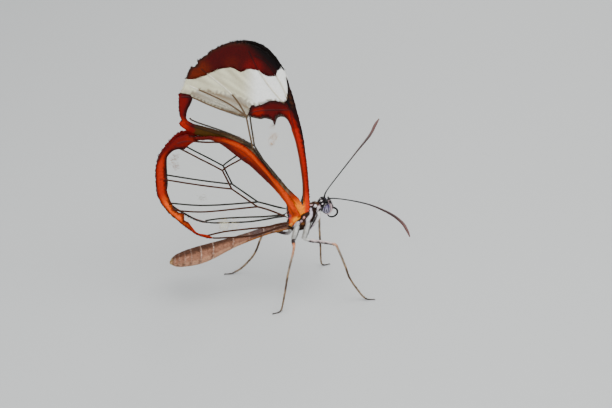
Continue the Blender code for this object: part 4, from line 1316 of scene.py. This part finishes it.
# Antennae: long horny feelers of many short joints, set in the top of the head.
# Black at the root, thicker and brown in the last third.
ANTENNA_PATHS = {
    "left": ((3.1, 0.40, 13.9, 0.14), (3.3, 0.60, 14.5, 0.10), (4.2, 1.5, 15.1, 0.09),
             (6.8, 3.4, 16.9, 0.10), (8.7, 4.9, 18.1, 0.12), (11.0, 6.6, 19.6, 0.19),
             (12.0, 7.6, 20.6, 0.21), (12.7, 8.2, 21.2, 0.09)),
    "right": ((3.1, -0.40, 13.7, 0.14), (3.8, -0.5, 14.2, 0.10), (5.3, -1.3, 14.35, 0.09),
              (7.0, -2.5, 14.45, 0.10), (8.6, -3.9, 14.5, 0.12), (10.1, -5.6, 14.4, 0.16),
              (11.2, -7.1, 14.2, 0.20), (12.0, -8.4, 13.75, 0.22), (12.4, -9.3, 13.1, 0.19),
              (12.6, -10.0, 12.5, 0.08)),
}
ANTENNA_JOINT = 0.32


def antenna_joints(samples):
    """1 in the middle of each joint and 0 at the seams between them."""
    steps = np.linalg.norm(np.diff(samples[:, :3], axis=0), axis=1)
    along = np.concatenate(((0.0,), np.cumsum(steps)))
    return 0.5 - 0.5 * np.cos(2.0 * math.pi * along / ANTENNA_JOINT)


def antenna_colours(samples):
    along = np.linspace(0.0, 1.0, len(samples))
    colour = washed(even(samples, 20, 15, 16), ((78, 56, 54), smooth(0.35, 0.65, along) * 0.8),
                    ((104, 70, 66), smooth(0.72, 0.9, along)))
    return colour * (0.7 + 0.4 * antenna_joints(samples)[:, None])


ANTENNA = painted_material("antenna_horn", 0.4, 0.15, 5000.0, 0.2)
for label, _ in SIDES:
    feeler = spline(ANTENNA_PATHS[label], 0.08)
    feeler[:, 3] *= 0.92 + 0.12 * antenna_joints(feeler)
    antenna = bars("antenna_feeler_" + label, [as_run(feeler)], ANTENNA, 12,
                   (("Paint", antenna_colours(feeler)),))
    fasten("antenna", ("antenna_" + label,), antenna)

# Walking legs: two pairs, each a stout white-haired coxa and a slender mottled limb of horny
# joints, ending in a foot of five short joints and two claws on the table.
MID_COXA = ((0.55, 1.1, 11.2, 0.42), (0.2, 1.3, 9.9, 0.42), (-0.15, 1.25, 8.75, 0.33))
HIND_COXA = ((-0.95, 1.0, 10.8, 0.42), (-1.35, 1.25, 9.7, 0.42), (-1.6, 1.2, 8.75, 0.33))
LEG_PATHS = {
    "midleg_right": (MID_COXA, -1, (
        (0.6, -1.7, 8.55), (1.5, -2.3, 8.65), (2.8, -3.3, 8.85), (3.7, -4.0, 8.85), (4.1, -4.25, 8.1),
        (5.0, -4.7, 5.6), (5.6, -4.95, 3.7), (7.0, -5.2, 1.3), (7.7, -5.32, 0.42), (8.2, -5.4, 0.14),
        (8.8, -5.5, 0.1))),
    "hindleg_right": (HIND_COXA, -1, (
        (-1.8, -1.9, 8.95), (-1.95, -2.7, 9.2), (-2.1, -3.8, 9.6), (-2.25, -4.7, 9.8),
        (-2.45, -5.05, 9.0), (-3.2, -5.4, 6.1), (-3.75, -5.7, 3.1), (-4.1, -5.85, 1.3),
        (-4.35, -5.95, 0.42), (-4.7, -6.0, 0.14), (-5.3, -6.1, 0.1))),
    "midleg_left": (MID_COXA, 1, (
        (0.5, 1.8, 8.75), (1.3, 2.5, 9.1), (2.4, 3.6, 9.7), (3.05, 4.15, 9.9), (3.25, 4.3, 9.1),
        (3.35, 4.45, 6.2), (3.5, 4.5, 3.7), (3.6, 4.65, 1.3), (3.75, 4.7, 0.42), (4.1, 4.75, 0.14),
        (4.7, 4.85, 0.1))),
    "hindleg_left": (HIND_COXA, 1, (
        (-1.8, 1.75, 8.0), (-2.6, 2.6, 7.75), (-3.6, 3.6, 7.8), (-4.35, 4.2, 7.85), (-4.65, 4.4, 7.1),
        (-5.2, 4.6, 5.8), (-6.1, 4.9, 3.2), (-7.7, 5.1, 1.2), (-8.8, 5.2, 0.42), (-9.4, 5.25, 0.14),
        (-10.1, 5.32, 0.1))),
}
LEG_RADII = (0.22, 0.21, 0.20, 0.18, 0.15, 0.14, 0.13, 0.12, 0.11, 0.10, 0.07)

# The colours of shin and foot by height.
LEG_BANDS = (
    (0.0, (44, 36, 30)), (0.32, (60, 48, 38)), (0.6, (138, 122, 104)), (2.0, (148, 130, 110)),
    (2.25, (84, 68, 54)), (2.5, (152, 134, 114)), (3.5, (144, 122, 100)), (3.8, (82, 64, 50)),
    (5.2, (104, 86, 68)), (5.6, (166, 144, 120)), (6.6, (166, 150, 132)), (7.1, (132, 122, 112)),
    (8.2, (172, 156, 140)), (8.6, (196, 164, 142)), (10.0, (206, 150, 120)),
)
THIGH_REACH = 3.9


def leg_paint(p, normals):
    """Shin and foot in brown bands by height; thigh dark below and white-scaled above; painted shade
    darkens the far legs' thighs and coxae.
    """
    heights = [height for height, _ in LEG_BANDS]
    bands = np.array([tone(*colour) for _, colour in LEG_BANDS])
    colour = np.column_stack([np.interp(p[:, 2], heights, band) for band in bands.T])
    ripple = np.sin(p[:, 2] * 11.0 + 3.0 * normals[:, 0]) * np.sin(p[:, 2] * 3.7 + 1.0)
    colour = washed(colour, ((64, 50, 40), smooth(0.45, 0.9, ripple) * 0.7))
    reach = np.abs(p[:, 1])
    pale = smooth(0.15, 0.6, normals[:, 2] + 0.25 * np.sin(reach * 9.0))
    thigh = washed(even(p, 62, 48, 50), ((216, 204, 202), pale * smooth(-1.6, -0.8, p[:, 0])))
    above = smooth(THIGH_REACH + 0.15, THIGH_REACH - 0.15, reach) * (p[:, 2] > 6.9)
    # The far legs' thighs are painted dark brown above 8.6 mm, as painted shade.
    colour = washed(mix(colour, thigh, above), ((74, 60, 54), (p[:, 1] > 2.0) * (p[:, 2] > 8.6)))
    coxa = washed(
        even(p, 226, 226, 222),
        ((58, 48, 46), smooth(0.3, 0.6, normals[:, 0]) * 0.9),
        ((160, 154, 146), smooth(-0.3, -0.8, normals[:, 0]) * 0.6),
        # The far coxae are painted darker, as painted shade.
        ((92, 78, 84), (p[:, 1] > 0.9) * 0.6))
    return mix(colour, coxa, smooth(1.95, 1.65, reach) * (p[:, 2] > 7.2))


LEG = painted_material("leg_horn", 0.5, 0.3, 2600.0, 0.3)
LEG_SCALE = flake("leg_scale", 0.2, 0.024, 0.01, HAIR_SHAPE)
LEG_SPINE = flake("leg_spine", 0.2, 0.014, 0.012, HAIR_SHAPE)
LEG_COAT = (LEG_SCALE, 70.0, (0.7, 1.2), 0.12, HAIR_FINISH)
SPINE_COAT = (LEG_SPINE, 9.0, (0.7, 1.3), 0.6, HAIR_FINISH)
CLAW_PATH = np.array(((0.0, 0.0, 0.0, 0.05), (0.16, 0.07, 0.03, 0.045), (0.3, 0.1, 0.0, 0.03),
                      (0.38, 0.09, -0.05, 0.012)))


def leg_unwrap(p):
    """By height and by reach from the midline."""
    return np.column_stack((0.01 + 0.98 * p[:, 2] / 13.0, 0.01 + 0.98 * (p[:, 1] + 7.0) / 14.0))


for name, (coxa, side, path) in LEG_PATHS.items():
    upper = spline(mirrored(coxa, side), 0.12)
    limb = spline([(*upper[-1][:3], 0.22), *((*p, r) for p, r in zip(path, LEG_RADII))], 0.1)
    limb[:, 3] *= 1.0 + 0.14 * smooth(1.6, 0.8, limb[:, 2]) * np.cos(np.arange(len(limb)) * 1.3)
    ahead = limb[-1, :3] - limb[-6, :3]
    ahead /= np.linalg.norm(ahead)
    across = np.array((-ahead[1], ahead[0], 0.0))
    claws = [np.column_stack((limb[-1, :3] + np.outer(CLAW_PATH[:, 0], ahead)
                              + np.outer(CLAW_PATH[:, 1] * way, across)
                              + np.outer(CLAW_PATH[:, 2], (0, 0, 1)), CLAW_PATH[:, 3]))
             for way in (-1, 1)]
    leg = bars(name + "_horn", [as_run(samples) for samples in (upper, limb, *claws)], LEG, 12)
    points = own_points(leg)
    normals = np.array([v.normal for v in leg.data.vertices])
    set_colours(leg.data, "Paint", leg_paint(points, normals))
    ones = np.ones(len(points))
    lay = np.column_stack((0.0 * ones, side * (points[:, 2] > 8.0), -ones))
    furry = smooth(0.25, 0.5, points[:, 2])
    scales = dress(name + "_scales", leg, LEG_COAT, 31, lay, furry, leg_unwrap)
    spines = dress(name + "_spines", leg, SPINE_COAT, 32, lay, furry, leg_unwrap)
    fasten("leg", (name,), leg, scales, spines)

# Forelegs: the small brush feet, which this family doesn't walk on.
# Each is a short limb in white fur, folded and held against the breast.
FORELEG_PATH = (
    (1.95, 0.75, 12.45, 0.26), (2.02, 0.9, 11.95, 0.29), (1.78, 1.0, 11.5, 0.27),
    (1.47, 1.0, 11.0, 0.23), (1.13, 1.0, 10.5, 0.15), (0.85, 0.95, 10.0, 0.07),
)


def foreleg_paint(p, normals):
    """White, greyer and purplish towards the folded foot, with a dark line behind."""
    return washed(even(p, 236, 232, 232), ((132, 118, 130), smooth(11.0, 10.4, p[:, 2])),
                  ((44, 34, 34), smooth(-0.35, -0.65, normals[:, 0])))


for label, side in SIDES:
    furred_limb("foreleg_" + label, FORELEG_PATH, side, foreleg_paint, (-0.5, 0.0, -1.0))

# The single flakes were only patterns for the coats.
for unit in (WING_SCALE, WING_HAIR, BODY_HAIR, BODY_SCALE, LEG_SCALE, LEG_SPINE):
    bpy.data.objects.remove(unit)
